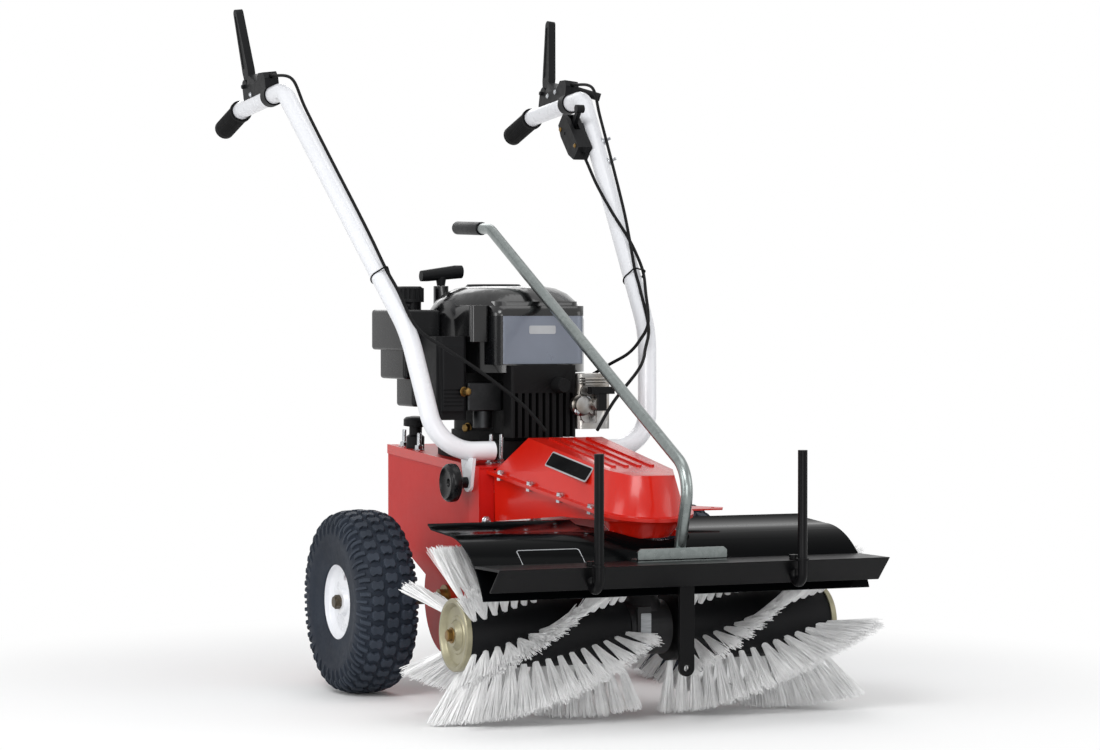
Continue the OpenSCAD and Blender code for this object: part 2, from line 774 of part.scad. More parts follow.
module tube_plugs() {
    color(black) both_sides() translate([tube_points[0].x, pivot.y, leg_z]) rotate([0, -90, 0]) {
        cylinder(d = tube_d, h = plug_t);
        translate([0, 0, -18]) cylinder(d = (tube_d - 2 * tube_wall) * cos(9) - 0.2, h = 18);
    }
}

module grips() {
    rings = 14;
    color(black) both_sides() translate([grip_x, grip_y, wrist_z]) rotate([-90 - grip_droop, 0, 0]) {
        difference() {
            union() {
                translate([0, 0, 10]) cylinder(r = grip_r, h = grip_len - 6);
                translate([0, 0, 10]) cylinder(r = grip_r + 2, h = 6);
            }
            translate([0, 0, 5]) cylinder(d = tube_d + 0.1, h = grip_len - 5 + 0.1);
            for (i = [0 : rings - 1])
                translate([0, 0, 22 + i * (grip_len - 28) / rings]) rotate_extrude()
                    translate([grip_r + 1, 0]) circle(d = 4, $fn = 16);
        }
    }
}

// Hand levers on brackets that clamp the tube
module splayed() {
    translate(lever_at) rotate(a = lever_splay, v = tube_u) translate(-lever_at) children();
}

module lever_bracket() {
    stop = lever_pivot + [0, -104, 12];
    color(black) difference() {
        splayed() difference() {
            union() {
                // Clamp band round the tube near the elbow
                bar(lever_at - tube_u * 120, lever_at - tube_u * 98, tube_d + 7);
                translate([grip_x, 0, 0]) across(28) {
                    translate([lever_pivot.y, lever_pivot.z]) circle(d = 26);
                    polygon([[lever_pivot.y + 13, lever_pivot.z], [lever_pivot.y + 13, lever_at.z], [stop.y - 12, lever_at.z + 11],
                        [stop.y - 12, stop.z - 2], [stop.y - 4, stop.z + 9], [stop.y + 22, stop.z + 9],
                        [stop.y + 36, lever_pivot.z + 4], [lever_pivot.y - 24, lever_pivot.z + 22],
                        [lever_pivot.y - 13, lever_pivot.z]]);
                }
            }
            translate([grip_x, lever_pivot.y + 2, lever_pivot.z + 12]) cube([16, 34, 54], center = true);
            translate([grip_x - 40, lever_pivot.y, lever_pivot.z]) rotate([0, 90, 0]) cylinder(d = 8 + 2 * run, h = 80);
            translate(stop + [0, 0.5, 0]) rotate([90, 0, 0]) cylinder(d = cable_d + 2.4, h = 20);
        }
        bar(lever_at - tube_u * 150, lever_at + tube_u * 60, tube_d + 0.1);
    }
}

// The left bracket has a cross arm
module lever_brackets() {
    both_sides() lever_bracket();
    color(black) bar(lever_pivot + [16, -76, 8], lever_pivot + [72, -101, -10], 16);
}

module clutch_lever() {
    color(black) splayed() difference() {
        union() {
            translate(lever_pivot) rotate([-lever_lean, 0, 0]) rotate([90, 0, 90]) linear_extrude(15, center = true) {
                circle(d = 24);
                polygon([[-12, 0], [12, 4], [16, 30], [9, hand_lever_len - 9], [-9, hand_lever_len - 9], [-16, 30]]);
                translate([0, hand_lever_len - 9]) circle(9);
            }
            translate(lever_pivot - [20, 0, 0]) rotate([0, 90, 0]) cylinder(d = 8, h = 40);
        }
        // Finger groove down both faces of the blade
        for (side = [-1, 1])
            translate(lever_pivot) rotate([-lever_lean, 0, 0]) translate([side * 8.5, 0, 0])
                rotate([90, 0, 90]) linear_extrude(5, center = true)
                    polygon([[-8, 36], [9, 36], [4, hand_lever_len - 14], [-4, hand_lever_len - 14]]);
    }
}

module clutch_lever_left() {
    clutch_lever();
}

module clutch_lever_right() {
    mirror([1, 0, 0]) clutch_lever();
}

// Throttle control
module throttle_frame() {
    translate(box_at) rotate([-box_tilt, 0, 0]) children();
}

module throttle_box() {
    color(black) difference() {
        throttle_frame() difference() {
            union() {
                translate([-16, 0, 0]) rotate([90, 0, 90]) linear_extrude(30) polygon([
                    [-22, -50], [12, -50], [22, -26], [22, 26], [14, 50], [-16, 50], [-22, 32]
                ]);
                translate([10, -12, -30]) cube([22, 24, 60]);
            }
            translate([-8, -40, 0]) cube([12, 56, 46]);
            translate(cable_port - [0, 0, 20]) cylinder(d = cable_d + 1, h = 20.5);
            translate([-30, throttle_pin.y, throttle_pin.z]) rotate([0, 90, 0]) cylinder(d = 6 + 2 * run, h = 45);
        }
        bar(tube_points[2], tube_points[3], tube_d + 0.2);
    }
}

module throttle_lever() {
    color(black) throttle_frame() {
        translate([-2, throttle_pin.y, throttle_pin.z]) rotate([90, 0, 90]) linear_extrude(8, center = true) {
            circle(d = 16);
            polygon([[-6, -6], [-6, 6], [-58, 9], [-58, -1]]);
        }
        translate([-17, throttle_pin.y, throttle_pin.z]) rotate([0, 90, 0]) cylinder(d = 6, h = 28);
        translate([-2, throttle_pin.y - 62, throttle_pin.z + 4]) rotate([0, 90, 0]) cylinder(d = 16, h = 16, center = true);
    }
}

module knob() {
    lobes = 6;
    inner = side_x + seat + foot_t;
    color(black) translate([0, pivot.y, pivot.z]) rotate([0, 90, 0]) {
        translate([0, 0, side_x - 12]) cylinder(d = 10, h = 50);
        translate([0, 0, inner + seat]) cylinder(d = 20, h = 20);
        translate([0, 0, inner + 18]) difference() {
            cylinder(d = knob_d, h = 24);
            for (i = [0 : lobes - 1])
                rotate(360 * i / lobes) translate([knob_d / 2 + 4, 0, -1]) cylinder(d = 18, h = 26);
            translate([0, 0, 18]) cylinder(d = 26, h = 10);
        }
    }
}

module knob_left() {
    knob();
}

module knob_right() {
    mirror([1, 0, 0]) knob();
}

// Control cables along the tubes
module clutch_cable_left() {
    color(black) cable(clutch_route, cable_d, 28);
}

module clutch_cable_right() {
    color(black) mirror([1, 0, 0]) cable(clutch_route, cable_d, 28);
}

module throttle_cable() {
    color(black) cable(throttle_route, cable_d, 24);
}

// Brush head: gearbox, turret and hood swing on the nose
neck_d = 44;
turret_low = brush_z + 154;
module gearbox() {
    color(black) difference() {
        union() {
            translate([0, brush_y, brush_z]) rotate([0, 90, 0]) {
                cylinder(d = 92, h = 76, center = true);
                cylinder(d = 60, h = 86, center = true);
            }
            translate([0, brush_y, brush_z]) cylinder(d = neck_d, h = turret_low - brush_z);
            translate([0, brush_y, brush_z + 30]) cylinder(d1 = 76, d2 = neck_d, h = 36);
            translate([-30, brush_y - 50, brush_z - 32]) cube([25, 8, 71]);
        }
        translate([-60, brush_y, brush_z]) rotate([0, 90, 0]) cylinder(d = brush_shaft_d + 2 * run, h = 120);
        translate([0, brush_y, brush_z]) cylinder(d = 16 + 2 * run, h = 200);
    }
}

module turret() {
    color(red) difference() {
        union() {
            translate([0, brush_y, turret_low]) cylinder(d1 = 96, d2 = 140, h = pan_z - turret_low - seat);
            translate([0, brush_y, pan_z - 5]) cylinder(d = 60, h = 20);
            translate([-118, brush_y - 10, brush_z + 154]) cube([236, 20, hood_r - 154 - 0.6]);
        }
        translate([0, brush_y, brush_z]) cylinder(d = 18, h = 400);
    }
}

hood_front = 66;
module hood_profile() {
    translate([brush_y, brush_z]) {
        intersection() {
            difference() {
                circle(hood_r + sheet);
                circle(hood_r);
            }
            polygon([[0, 0], [0, 2 * hood_r], [-2 * hood_r * tan(hood_front), 2 * hood_r]]);
        }
        polygon([[-0.1, hood_r], [70, hood_r + 5], [84, hood_r + 12], [84, hood_r + 12 + sheet],
            [69, hood_r + 5 + sheet], [-0.1, hood_r + sheet]]);
    }
}

module brush_hood() {
    color(black) difference() {
        across(hood_len) hood_profile();
        translate([0, brush_y, hood_top - 40]) linear_extrude(80) {
            circle(72);
            polygon([[-72, 0], [72, 0], [104, 120], [-104, 120]]);
        }
    }
}

post_y = brush_y - 237 + post_d / 2;
shelf_back = brush_y - sqrt(pow(hood_r + sheet + seat, 2) - pow(shelf_z - 4 - brush_z, 2));
shelf_front = post_y + post_d / 2 + seat;
lip_drop = [38, -36];
module bumper_profile() {
    polygon([
        [shelf_back, shelf_z], [shelf_back, shelf_z - 4], [shelf_front + 6, shelf_z - 4],
        [shelf_front + lip_drop.x + 3, shelf_z - 2 + lip_drop.y], [shelf_front + lip_drop.x, shelf_z - 4 + lip_drop.y],
        [shelf_front, shelf_z - 1], [shelf_front, shelf_z]
    ]);
}

module bumper() {
    color([0.2, 0.21, 0.22]) across(bumper_len) bumper_profile();
}

module hook_posts() {
    hook_r = 15;
    hook_z = shelf_z - 22;
    color(black) both_sides() difference() {
        translate([post_span / 2, post_y, hook_z]) {
            cylinder(d = post_d, h = post_top - hook_z);
            // Weld collar that sits on the shelf's edge
            translate([0, 0, shelf_z + seat - hook_z]) cylinder(d = post_d + 6, h = 4 - seat);
            translate([0, 2 * hook_r, 0]) cylinder(d = post_d, h = 30);
            translate([0, hook_r, 0]) rotate([90, 0, 90]) rotate_extrude(angle = -180)
                translate([hook_r, 0]) circle(d = post_d);
        }
        // The short leg ends on the lip
        translate([post_span / 2, 0, 0]) across(2 * post_d) polygon([
            [shelf_front - seat, shelf_z + seat], [shelf_front - seat, shelf_z - 1.5],
            [shelf_front + lip_drop.x, shelf_z - 4.5 + lip_drop.y], [shelf_front + lip_drop.x + 60, shelf_z + seat]
        ]);
    }
}

module centre_post() {
    color(black) translate([0, brush_y - 167, 0]) rotate([90, 0, 0]) linear_extrude(8) difference() {
        union() {
            translate([-13.5, brush_z - 53]) square([27, shelf_z - 4 - brush_z + 53]);
            translate([0, brush_z - 53]) circle(13.5);
        }
        translate([0, brush_z - 53]) circle(5.5);
    }
}

module swivel_lever() {
    color(steel) {
        difference() {
            swept(bent_path(lever_points, lever_bends, 12), [1, 0, 0], lever_d, 0, 20);
            translate([-50, brush_y - 300, 0]) cube([100, 400, shelf_z + 2]);
        }
        translate([-82, brush_y - 158, shelf_z]) cube([164, 38, 4]);
        translate([-82, brush_y - 158, shelf_z]) cube([164, 4, 22]);
    }
}

module lever_grip() {
    color(black) difference() {
        bar(lever_points[3] - lever_u * 120, lever_points[3] + lever_u * 4, lever_d + 8);
        bar(lever_points[2], lever_points[3] + lever_u * 0.2, lever_d + 0.1);
    }
}

module brush_pulley() {
    color(steel) translate([0, brush_y, 0]) {
        translate([0, 0, belt_z - pulley_h / 2]) pulley(brush_groove_r, pulley_h, 12);
        translate([0, 0, brush_z + brush_shaft_d / 2 + 4]) cylinder(d = 16, h = belt_z + 14 - brush_z - brush_shaft_d / 2 - 4);
    }
}

// Brush rotor
module brush_shaft() {
    color(steel) translate([0, brush_y, brush_z]) rotate([0, 90, 0])
        cylinder(d = brush_shaft_d, h = 2 * drum_end + 20, center = true);
}

drum_wall = 5;
module brush_drums() {
    color(black) both_sides() translate([drum_start, brush_y, brush_z]) rotate([0, 90, 0]) difference() {
        cylinder(d = drum_d, h = drum_end - drum_start);
        translate([0, 0, 6]) cylinder(d = drum_d - 2 * drum_wall, h = drum_end - drum_start - 20);
        translate([0, 0, -10]) cylinder(d = brush_shaft_d + 2 * run, h = drum_end);
    }
}

module drum_caps() {
    color(brass) both_sides() translate([drum_end, brush_y, brush_z]) rotate([0, 90, 0]) difference() {
        rotate_extrude() polygon([
            [0, 0], [drum_d / 2 + 3, 0], [drum_d / 2 + 3, 9], [drum_d / 2 - 4, 9], [drum_d / 2 - 10, 4], [28, 4],
            [20, 12], [0, 12]
        ]);
        translate([0, 0, -1]) cylinder(d = brush_shaft_d + 2 * run, h = 11);
    }
}

// One row of tufts on its curved strip: strips are rings of cells, and every other cell grows a tuft
module bristle_row(start, twist) {
    cells = 2 * bristle_tufts - 1;
    foot = 14;
    in_r = drum_d / 2 / cos(foot / 2 + 2) + 0.15;
    out_r = in_r + 2;
    length = drum_end - drum_start - 4;
    function place(x, angle, r) = [x, brush_y + r * sin(angle), brush_z + r * cos(angle)];
    function along(i) = drum_start + 2 + length * i / cells;
    function swing(i) = start + twist * i / cells;
    function fan(i) = let (s = (i + 0.5) / cells) along(i + 0.5) + (s < 0.5 ? -12 : bristle_lean) * pow(abs(2 * s - 1), 1.5);
    ring = [for (i = [0 : cells], c = [[in_r, -1], [out_r, -1], [out_r, 1], [in_r, 1]])
        place(along(i), swing(i) + c[1] * foot / 2, c[0])];
    tips = [for (i = [0 : 2 : cells], c = [[-1, -1], [-1, 1], [1, 1], [1, -1]])
        place(fan(i) + c[0] * 7.5, swing(i + 0.5) + c[1] * 2.6, brush_d / 2 / 1.0011)];
    base = len(ring);
    walls = [for (i = [0 : cells - 1], k = [0 : 3]) let (p = 4 * i, j = (k + 1) % 4)
        if (k != 1 || i % 2 == 1) each [[p + k, p + j, p + 4 + j], [p + k, p + 4 + j, p + 4 + k]]];
    tufts = [for (i = [0 : 2 : cells - 1])
        let (p = 4 * i, q = base + 2 * i, root = [p + 1, p + 2, p + 6, p + 5], tip = [q, q + 1, q + 2, q + 3])
        each concat([for (k = [0 : 3]) let (j = (k + 1) % 4) each [[root[k], root[j], tip[j]], [root[k], tip[j], tip[k]]]],
            [[tip[0], tip[1], tip[2]], [tip[0], tip[2], tip[3]]])];
    ends = [[3, 2, 1], [3, 1, 0], [4 * cells, 4 * cells + 1, 4 * cells + 2], [4 * cells, 4 * cells + 2, 4 * cells + 3]];
    polyhedron(concat(ring, tips), concat(walls, tufts, ends));
}

module bristles(start, twist) {
    color(white)
        for (k = [0 : bristle_rows - 1])
            bristle_row(start + 360 * k / bristle_rows, twist);
}

module bristles_left() {
    bristles(2, row_twist);
}

module bristles_right() {
    mirror([1, 0, 0]) bristles(-32, -row_twist);
}

// Wheels, drawn on the +X side
rim_lip = 44;
module tyre() {
    half = tyre_w / 2;
    bead = rim_d / 2;
    out = tyre_d / 2;
    right = [
        [rim_lip - 8, bead], [half - 9, bead + 18], [half - 1, bead + 40], [half, bead + 53], [half - 3, out - 18],
        [half - 12, out - 7], [half - 20, out - 2.5]
    ];
    hollow = [
        [rim_lip - 19, bead - 1], [half - 19, bead + 20], [half - 11, bead + 42], [half - 10, bead + 52],
        [half - 14, out - 26], [half - 26, out - 17]
    ];
    crown = [[12, out], [9, out - 6], [-9, out - 6], [-12, out]];
    left = [for (i = [len(right) - 1 : -1 : 0]) [-right[i].x, right[i].y]];
    color(black) translate([track / 2, 0, axle_z]) spin_x() difference() {
        polygon(concat(right, crown, left));
        polygon(concat(hollow, [for (i = [len(hollow) - 1 : -1 : 0]) [-hollow[i].x, hollow[i].y]]));
    }
}

module rim() {
    bead = rim_d / 2;
    hub = axle_d / 2 + run;
    color(white) translate([track / 2, 0, axle_z]) difference() {
        spin_x() polygon([
            [-rim_lip, bead - 5], [-rim_lip, bead + 4], [-rim_lip + 3, bead + 4], [-rim_lip + 6, bead],
            [rim_lip - 6, bead], [rim_lip - 3, bead + 4], [rim_lip, bead + 4], [rim_lip, bead - 5], [36, bead - 6],
            [30, bead - 16], [32, 26], [40, 22], [40, hub], [-40, hub], [-40, hub + 7], [26, hub + 7],
            [25, bead - 16], [31, bead - 5]
        ]);
        translate([20, 0, 44]) rotate([0, 90, 0]) cylinder(d = 12, h = 30);
    }
}

module axle_shaft() {
    color(steel) translate([0, 0, axle_z]) rotate([0, 90, 0]) {
        translate([0, 0, 30]) cylinder(d = axle_d, h = track / 2 + 22);
        translate([0, 0, track / 2 + 40 + seat]) cylinder(d = 26, h = 9, $fn = 6);
        translate([0, 0, track / 2 - 44 - seat]) cylinder(d = axle_d + 10, h = 4);
    }
}

module tyre_left() {
    tyre();
}

module tyre_right() {
    mirror([1, 0, 0]) tyre();
}

module rim_left() {
    rim();
}

module rim_right() {
    mirror([1, 0, 0]) rim();
}

module axle_left() {
    axle_shaft();
}

module axle_right() {
    mirror([1, 0, 0]) axle_shaft();
}

chassis_frame();
lower_housing();
belt_cover();
cover_bolts();
axle_bushes();
wheel_gearbox();
engine_block();
cylinder_head();
blower_housing();
engine_shroud();
starter_screen();
fuel_tank();
air_filter();
carburettor();
muffler();
muffler_guard();
spark_plug();
fuel_cap();
oil_cap();
starter_handle();
starter_rope();
crank_pulley();
drive_belts();
gearbox_pulley();
belt_tensioner();
handle_tube_right();
handle_tube_left();
tube_plugs();
grips();
lever_brackets();
throttle_box();
throttle_lever();
clutch_lever_right();
clutch_lever_left();
knob_right();
knob_left();
clutch_cable_right();
clutch_cable_left();
throttle_cable();
gearbox();
turret();
brush_hood();
bumper();
hook_posts();
centre_post();
swivel_lever();
lever_grip();
brush_pulley();
brush_shaft();
brush_drums();
drum_caps();
bristles_right();
bristles_left();
tyre_right();
rim_right();
axle_right();
tyre_left();
rim_left();
axle_left();
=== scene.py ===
"""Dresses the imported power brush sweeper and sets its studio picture."""
from __future__ import annotations

import json
import logging
import math
from dataclasses import dataclass, field
from enum import Enum
from typing import Any, Callable, Iterable, Sequence

import bmesh
import bpy
import numpy as np
from bpy.types import Material, Mesh, Node, NodeSocket, NodeTree, Object
from mathutils import Matrix, Vector
from mathutils.bvhtree import BVHTree

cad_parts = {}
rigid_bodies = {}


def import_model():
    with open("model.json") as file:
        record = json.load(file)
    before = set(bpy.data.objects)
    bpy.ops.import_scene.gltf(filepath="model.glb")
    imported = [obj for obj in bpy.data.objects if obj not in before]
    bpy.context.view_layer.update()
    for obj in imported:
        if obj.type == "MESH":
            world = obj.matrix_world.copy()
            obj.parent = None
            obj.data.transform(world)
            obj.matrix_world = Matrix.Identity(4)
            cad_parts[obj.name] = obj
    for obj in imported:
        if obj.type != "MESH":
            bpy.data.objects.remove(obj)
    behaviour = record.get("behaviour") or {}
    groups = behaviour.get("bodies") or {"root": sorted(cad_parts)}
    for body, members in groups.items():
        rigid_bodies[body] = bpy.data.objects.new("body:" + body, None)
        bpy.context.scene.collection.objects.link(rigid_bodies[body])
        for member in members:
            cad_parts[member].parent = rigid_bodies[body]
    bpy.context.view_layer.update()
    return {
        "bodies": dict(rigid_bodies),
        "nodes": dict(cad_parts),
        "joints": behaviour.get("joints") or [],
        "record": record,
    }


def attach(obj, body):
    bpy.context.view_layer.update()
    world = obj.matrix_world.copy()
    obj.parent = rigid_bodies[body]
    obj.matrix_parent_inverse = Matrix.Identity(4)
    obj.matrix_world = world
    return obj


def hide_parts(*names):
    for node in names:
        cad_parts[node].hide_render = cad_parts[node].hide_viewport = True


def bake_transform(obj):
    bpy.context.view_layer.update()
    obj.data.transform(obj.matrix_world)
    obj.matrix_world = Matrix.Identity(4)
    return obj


MM = 0.001
# Points of a CAD mesh that lie closer than this, in metres, are one point.
WELD = 2e-6
# Angles in degrees: faces that meet flatter than the first are one face, edges sharper than the second stay sharp.
FLAT_ANGLE = 0.6
SMOOTH_ANGLE = 35.0
# The operator's right lies at -X.
SIDES = ((-1, "right"), (1, "left"))
# The brush axis along Y and Z.
BRUSH_AXIS = (-513.0, 150.0)
LOG = logging.getLogger("sweeper")
Colour = tuple[float, float, float]
Flat = tuple[float, float]
Point = Sequence[float]


def linear(colour: Colour) -> tuple[float, float, float, float]:
    """Turns a display colour into the linear colour that shaders take.

    Args:
        colour: red, green and blue as they look on a screen, 0 to 1.

    Returns:
        The linear colour with full alpha.
    """
    parts = [c / 12.92 if c <= 0.04045 else ((c + 0.055) / 1.055) ** 2.4 for c in colour]
    return (parts[0], parts[1], parts[2], 1.0)


class Wiring:
    """Adds and links nodes in one node tree."""

    def __init__(self, tree: NodeTree) -> None:
        """Keeps the tree that is wired."""
        self.tree = tree

    def add(self, kind: str, inputs: dict[Any, Any] | None = None, **settings: Any) -> Node:
        """Adds a node, sets its properties, then sets or links its inputs.

        Args:
            kind: the node's type name.
            inputs: values or output sockets, by socket name or number.
            settings: properties of the node itself.

        Returns:
            The new node.
        """
        node = self.tree.nodes.new(kind)
        for key, value in settings.items():
            setattr(node, key, value)
        return self.feed(node, inputs or {})

    def feed(self, node: Node, inputs: dict[Any, Any]) -> Node:
        """Sets or links a node's inputs.

        Args:
            node: the node.
            inputs: values or output sockets, by socket name or number.

        Returns:
            The same node.
        """
        for key, value in inputs.items():
            if isinstance(value, NodeSocket):
                self.tree.links.new(value, node.inputs[key])
            else:
                node.inputs[key].default_value = value
        return node

    def math(self, operation: str, *values: Any) -> NodeSocket:
        """Adds a Math node on values or sockets and returns its result."""
        return self.add("ShaderNodeMath", dict(enumerate(values)), operation=operation).outputs[0]

    def vector(self, operation: str, *values: Any) -> NodeSocket:
        """Adds a Vector Math node on values or sockets and returns its vector."""
        return self.add("ShaderNodeVectorMath", dict(enumerate(values)), operation=operation).outputs[0]

    def scaled(self, vector: Any, factor: Any) -> NodeSocket:
        """Returns a vector socket times a number."""
        return self.add("ShaderNodeVectorMath", {0: vector, "Scale": factor}, operation="SCALE").outputs[0]

    def length(self, vector: Any) -> NodeSocket:
        """Returns the length of a vector socket."""
        return self.add("ShaderNodeVectorMath", {0: vector}, operation="LENGTH").outputs["Value"]

    def mix(self, share: Any, first: Any, second: Any) -> NodeSocket:
        """Mixes two colours by a share and returns the result."""
        return self.add("ShaderNodeMix", {0: share, 6: first, 7: second}, data_type="RGBA").outputs[2]

    def noise(self, place: Any, scale: float, detail: float, roughness: float = 0.5) -> NodeSocket:
        """Adds a noise texture and returns its value."""
        inputs = {"Vector": place, "Scale": scale, "Detail": detail, "Roughness": roughness}
        return self.add("ShaderNodeTexNoise", inputs).outputs[0]

    def ranged(self, value: Any, start: Flat, goal: Flat = (0.0, 1.0), **settings: Any) -> NodeSocket:
        """Maps a value from one range to another and returns it."""
        inputs = {"Value": value, 1: start[0], 2: start[1], 3: goal[0], 4: goal[1]}
        return self.add("ShaderNodeMapRange", inputs, **settings).outputs[0]

    def named(self, title: str) -> NodeSocket:
        """Reads a vector that each point carries."""
        return self.add("GeometryNodeInputNamedAttribute", {"Name": title}, data_type="FLOAT_VECTOR").outputs[0]


class Grain(Enum):
    """What a finish's colour shows besides its two tones."""

    PLAIN = "plain"
    SPANGLE = "spangle"
    HEATED = "heated"


# Settings that all finishes share: where noise fades from one tone to the other, and sizes of their patterns.
PATCH_RANGE = (0.34, 0.68)
SPECK_RANGE = (0.3, 0.7)
COAT_ROUGH = 0.06
RELIEF_REACH = 0.0006
SPECKS_PER_PATCH = 9
SPANGLE_SCALE = 130.0
SPANGLE_SHARE = 0.65
HEAT_SCALE = 16.0
HEAT_SHARE = 0.25


@dataclass(frozen=True)
class Finish:
    """A procedural surface: two colours in slow patches, a roughness that varies, and a fine relief."""

    name: str
    slot: str
    colour: Colour
    tone: Colour
    rough: float
    swing: float = 0.06
    metal: float = 0.0
    coat: float = 0.0
    grain: Grain = Grain.PLAIN
    patch: float = 7.0
    fine: float = 500.0
    depth: float = 0.05
    stretch: Point = (1.0, 1.0, 1.0)
    shine: float = 0.5

    def material(self) -> Material:
        """Returns this finish's material, made the first time it is asked for."""
        found = bpy.data.materials.get(self.name)
        return found if found else self._make()

    def _make(self) -> Material:
        """Builds the material's node tree.

        Returns:
            The new material.
        """
        made = bpy.data.materials.new(self.name)
        made.use_nodes = True
        made.diffuse_color = linear(self.colour)
        wire = Wiring(made.node_tree)
        place = wire.add("ShaderNodeTexCoord").outputs["Object"]
        place = wire.add("ShaderNodeMapping", {"Vector": place, "Scale": self.stretch}).outputs[0]
        share = wire.ranged(wire.noise(place, self.patch, 5.0, 0.6), PATCH_RANGE)
        if self.grain is Grain.SPANGLE:
            cells = wire.add("ShaderNodeTexVoronoi", {"Vector": place, "Scale": SPANGLE_SCALE, "Randomness": 1.0})
            tint = wire.add("ShaderNodeSeparateColor", {0: cells.outputs["Color"]}).outputs[0]
            share = wire.math("MULTIPLY_ADD", tint, SPANGLE_SHARE, wire.math("MULTIPLY", share, 1 - SPANGLE_SHARE))
        colour = wire.mix(share, linear(self.colour), linear(self.tone))
        if self.grain is Grain.HEATED:
            colour = self._heat(wire, place, colour)
        speck = wire.noise(place, self.patch * SPECKS_PER_PATCH, 6.0, 0.7)
        relief = wire.noise(place, self.fine, 2.0)
        bump = wire.add("ShaderNodeBump", {"Height": relief, "Strength": self.depth, "Distance": RELIEF_REACH})
        wire.feed(made.node_tree.nodes["Principled BSDF"], {
            "Base Color": colour, "Metallic": self.metal, "Specular IOR Level": self.shine,
            "Roughness": wire.ranged(speck, SPECK_RANGE, (self.rough - self.swing, self.rough + self.swing)),
            "Coat Weight": self.coat, "Coat Roughness": COAT_ROUGH, "Normal": bump.outputs[0]})
        return made

    @staticmethod
    def _heat(wire: Wiring, place: NodeSocket, base: NodeSocket) -> NodeSocket:
        """Lays straw and blue heat tints over bare steel.

        Args:
            wire: the tree's wiring.
            place: coordinates in the part's frame.
            base: the steel's colour.

        Returns:
            The tinted colour.
        """
        ramp = wire.add("ShaderNodeValToRGB", {0: wire.noise(place, HEAT_SCALE, 3.0)})
        stops = ramp.color_ramp.elements
        stops[0].position, stops[0].color = 0.42, linear((0.74, 0.73, 0.71))
        stops[1].position, stops[1].color = 0.7, linear((0.42, 0.40, 0.44))
        stops.new(0.57).color = linear((0.70, 0.60, 0.44))
        return wire.mix(HEAT_SHARE, base, ramp.outputs[0])


RED = Finish("red enamel", "red_paint", (0.775, 0.11, 0.05), (0.735, 0.092, 0.042), 0.24, 0.03, coat=0.16, shine=0.3,
             fine=260, depth=0.006)
PANEL_RED = Finish("red side enamel", "red_paint", (0.75, 0.105, 0.085), (0.71, 0.085, 0.07), 0.40, 0.03, coat=0.03,
                   shine=0.14, fine=260, depth=0.01)
BLACK = Finish("black enamel", "black_paint", (0.015, 0.018, 0.022), (0.022, 0.026, 0.03), 0.12, 0.02, shine=0.02,
               fine=240, depth=0.008)
BAR_BLACK = Finish("black bar paint", "black_paint", (0.035, 0.035, 0.04), (0.05, 0.05, 0.055), 0.33, shine=0.1,
                   fine=320, depth=0.05)
WHITE = Finish("white enamel", "white_paint", (0.90, 0.905, 0.92), (0.88, 0.885, 0.90), 0.28, 0.03, coat=0.2,
               shine=0.4, patch=3, fine=260, depth=0.006)
SILVER_GREY = Finish("silver grey paint", "grey_paint", (0.46, 0.485, 0.535), (0.42, 0.445, 0.49), 0.30, 0.03,
                     metal=0.45, coat=0.3, patch=4, fine=1800, depth=0.02)
ZINC = Finish("zinc plate", "zinc", (0.55, 0.575, 0.57), (0.48, 0.505, 0.50), 0.30, 0.05, metal=1.0,
              grain=Grain.SPANGLE, patch=12, fine=300, depth=0.03)
BRIGHT = Finish("bright fastener", "zinc", (0.78, 0.79, 0.80), (0.62, 0.63, 0.65), 0.24, metal=1.0, patch=40, fine=900,
                depth=0.05)
DRAWN = Finish("drawn steel", "zinc", (0.60, 0.61, 0.62), (0.48, 0.49, 0.50), 0.34, metal=1.0, patch=20, fine=300,
               depth=0.08, stretch=(1, 1, 12))
HUB = Finish("worn hub steel", "zinc", (0.40, 0.36, 0.30), (0.26, 0.24, 0.21), 0.42, metal=0.9, patch=60, fine=600,
             depth=0.15)
HEATED = Finish("heated steel", "zinc", (0.66, 0.66, 0.66), (0.46, 0.46, 0.46), 0.32, metal=1.0, grain=Grain.HEATED,
                patch=18, fine=500, depth=0.08)
CASTING = Finish("black casting", "engine_casting", (0.06, 0.06, 0.064), (0.042, 0.042, 0.046), 0.55, patch=14,
                 fine=420, depth=0.35, shine=0.12)
IRON = Finish("gearbox casting", "cast_gearbox", (0.17, 0.17, 0.175), (0.12, 0.12, 0.125), 0.45, patch=14, fine=420,
              depth=0.3, shine=0.2)
ALLOY = Finish("bare alloy", "carb_metal", (0.20, 0.205, 0.21), (0.13, 0.135, 0.14), 0.42, metal=0.9, patch=22,
               fine=500, depth=0.25)
MOULDED = Finish("moulded black", "black_plastic", (0.07, 0.073, 0.08), (0.052, 0.054, 0.06), 0.48, patch=9, fine=1500,
                 depth=0.12, shine=0.13)
GLOSS = Finish("gloss black", "black_paint", (0.035, 0.036, 0.04), (0.05, 0.051, 0.055), 0.20, 0.03, coat=0.3,
               shine=0.4, fine=200, depth=0.008)
TANK = Finish("tank plastic", "black_plastic", (0.06, 0.063, 0.07), (0.046, 0.048, 0.054), 0.28, 0.04, coat=0.06,
              shine=0.16, patch=6, fine=1500, depth=0.03)
RUBBER = Finish("soft rubber", "grip_rubber", (0.06, 0.062, 0.066), (0.042, 0.042, 0.045), 0.66, patch=20, fine=1200,
                depth=0.2, shine=0.12)
BELT = Finish("belt rubber", "belt_rubber", (0.07, 0.07, 0.07), (0.05, 0.05, 0.05), 0.75, patch=30, fine=900,
              depth=0.2, shine=0.12)
# The carcass and the tread lugs are one rubber. The carcass is painted darker, as painted shade in the grooves between
# the lugs, and the lugs are painted lighter, as a painted highlight on their tops.
GROOVE_SHADED_CARCASS = Finish("tyre carcass with painted shade", "tyre", (0.15, 0.175, 0.215), (0.12, 0.14, 0.175), 0.62, 0.08, patch=10, fine=700,
                 depth=0.2, shine=0.14)
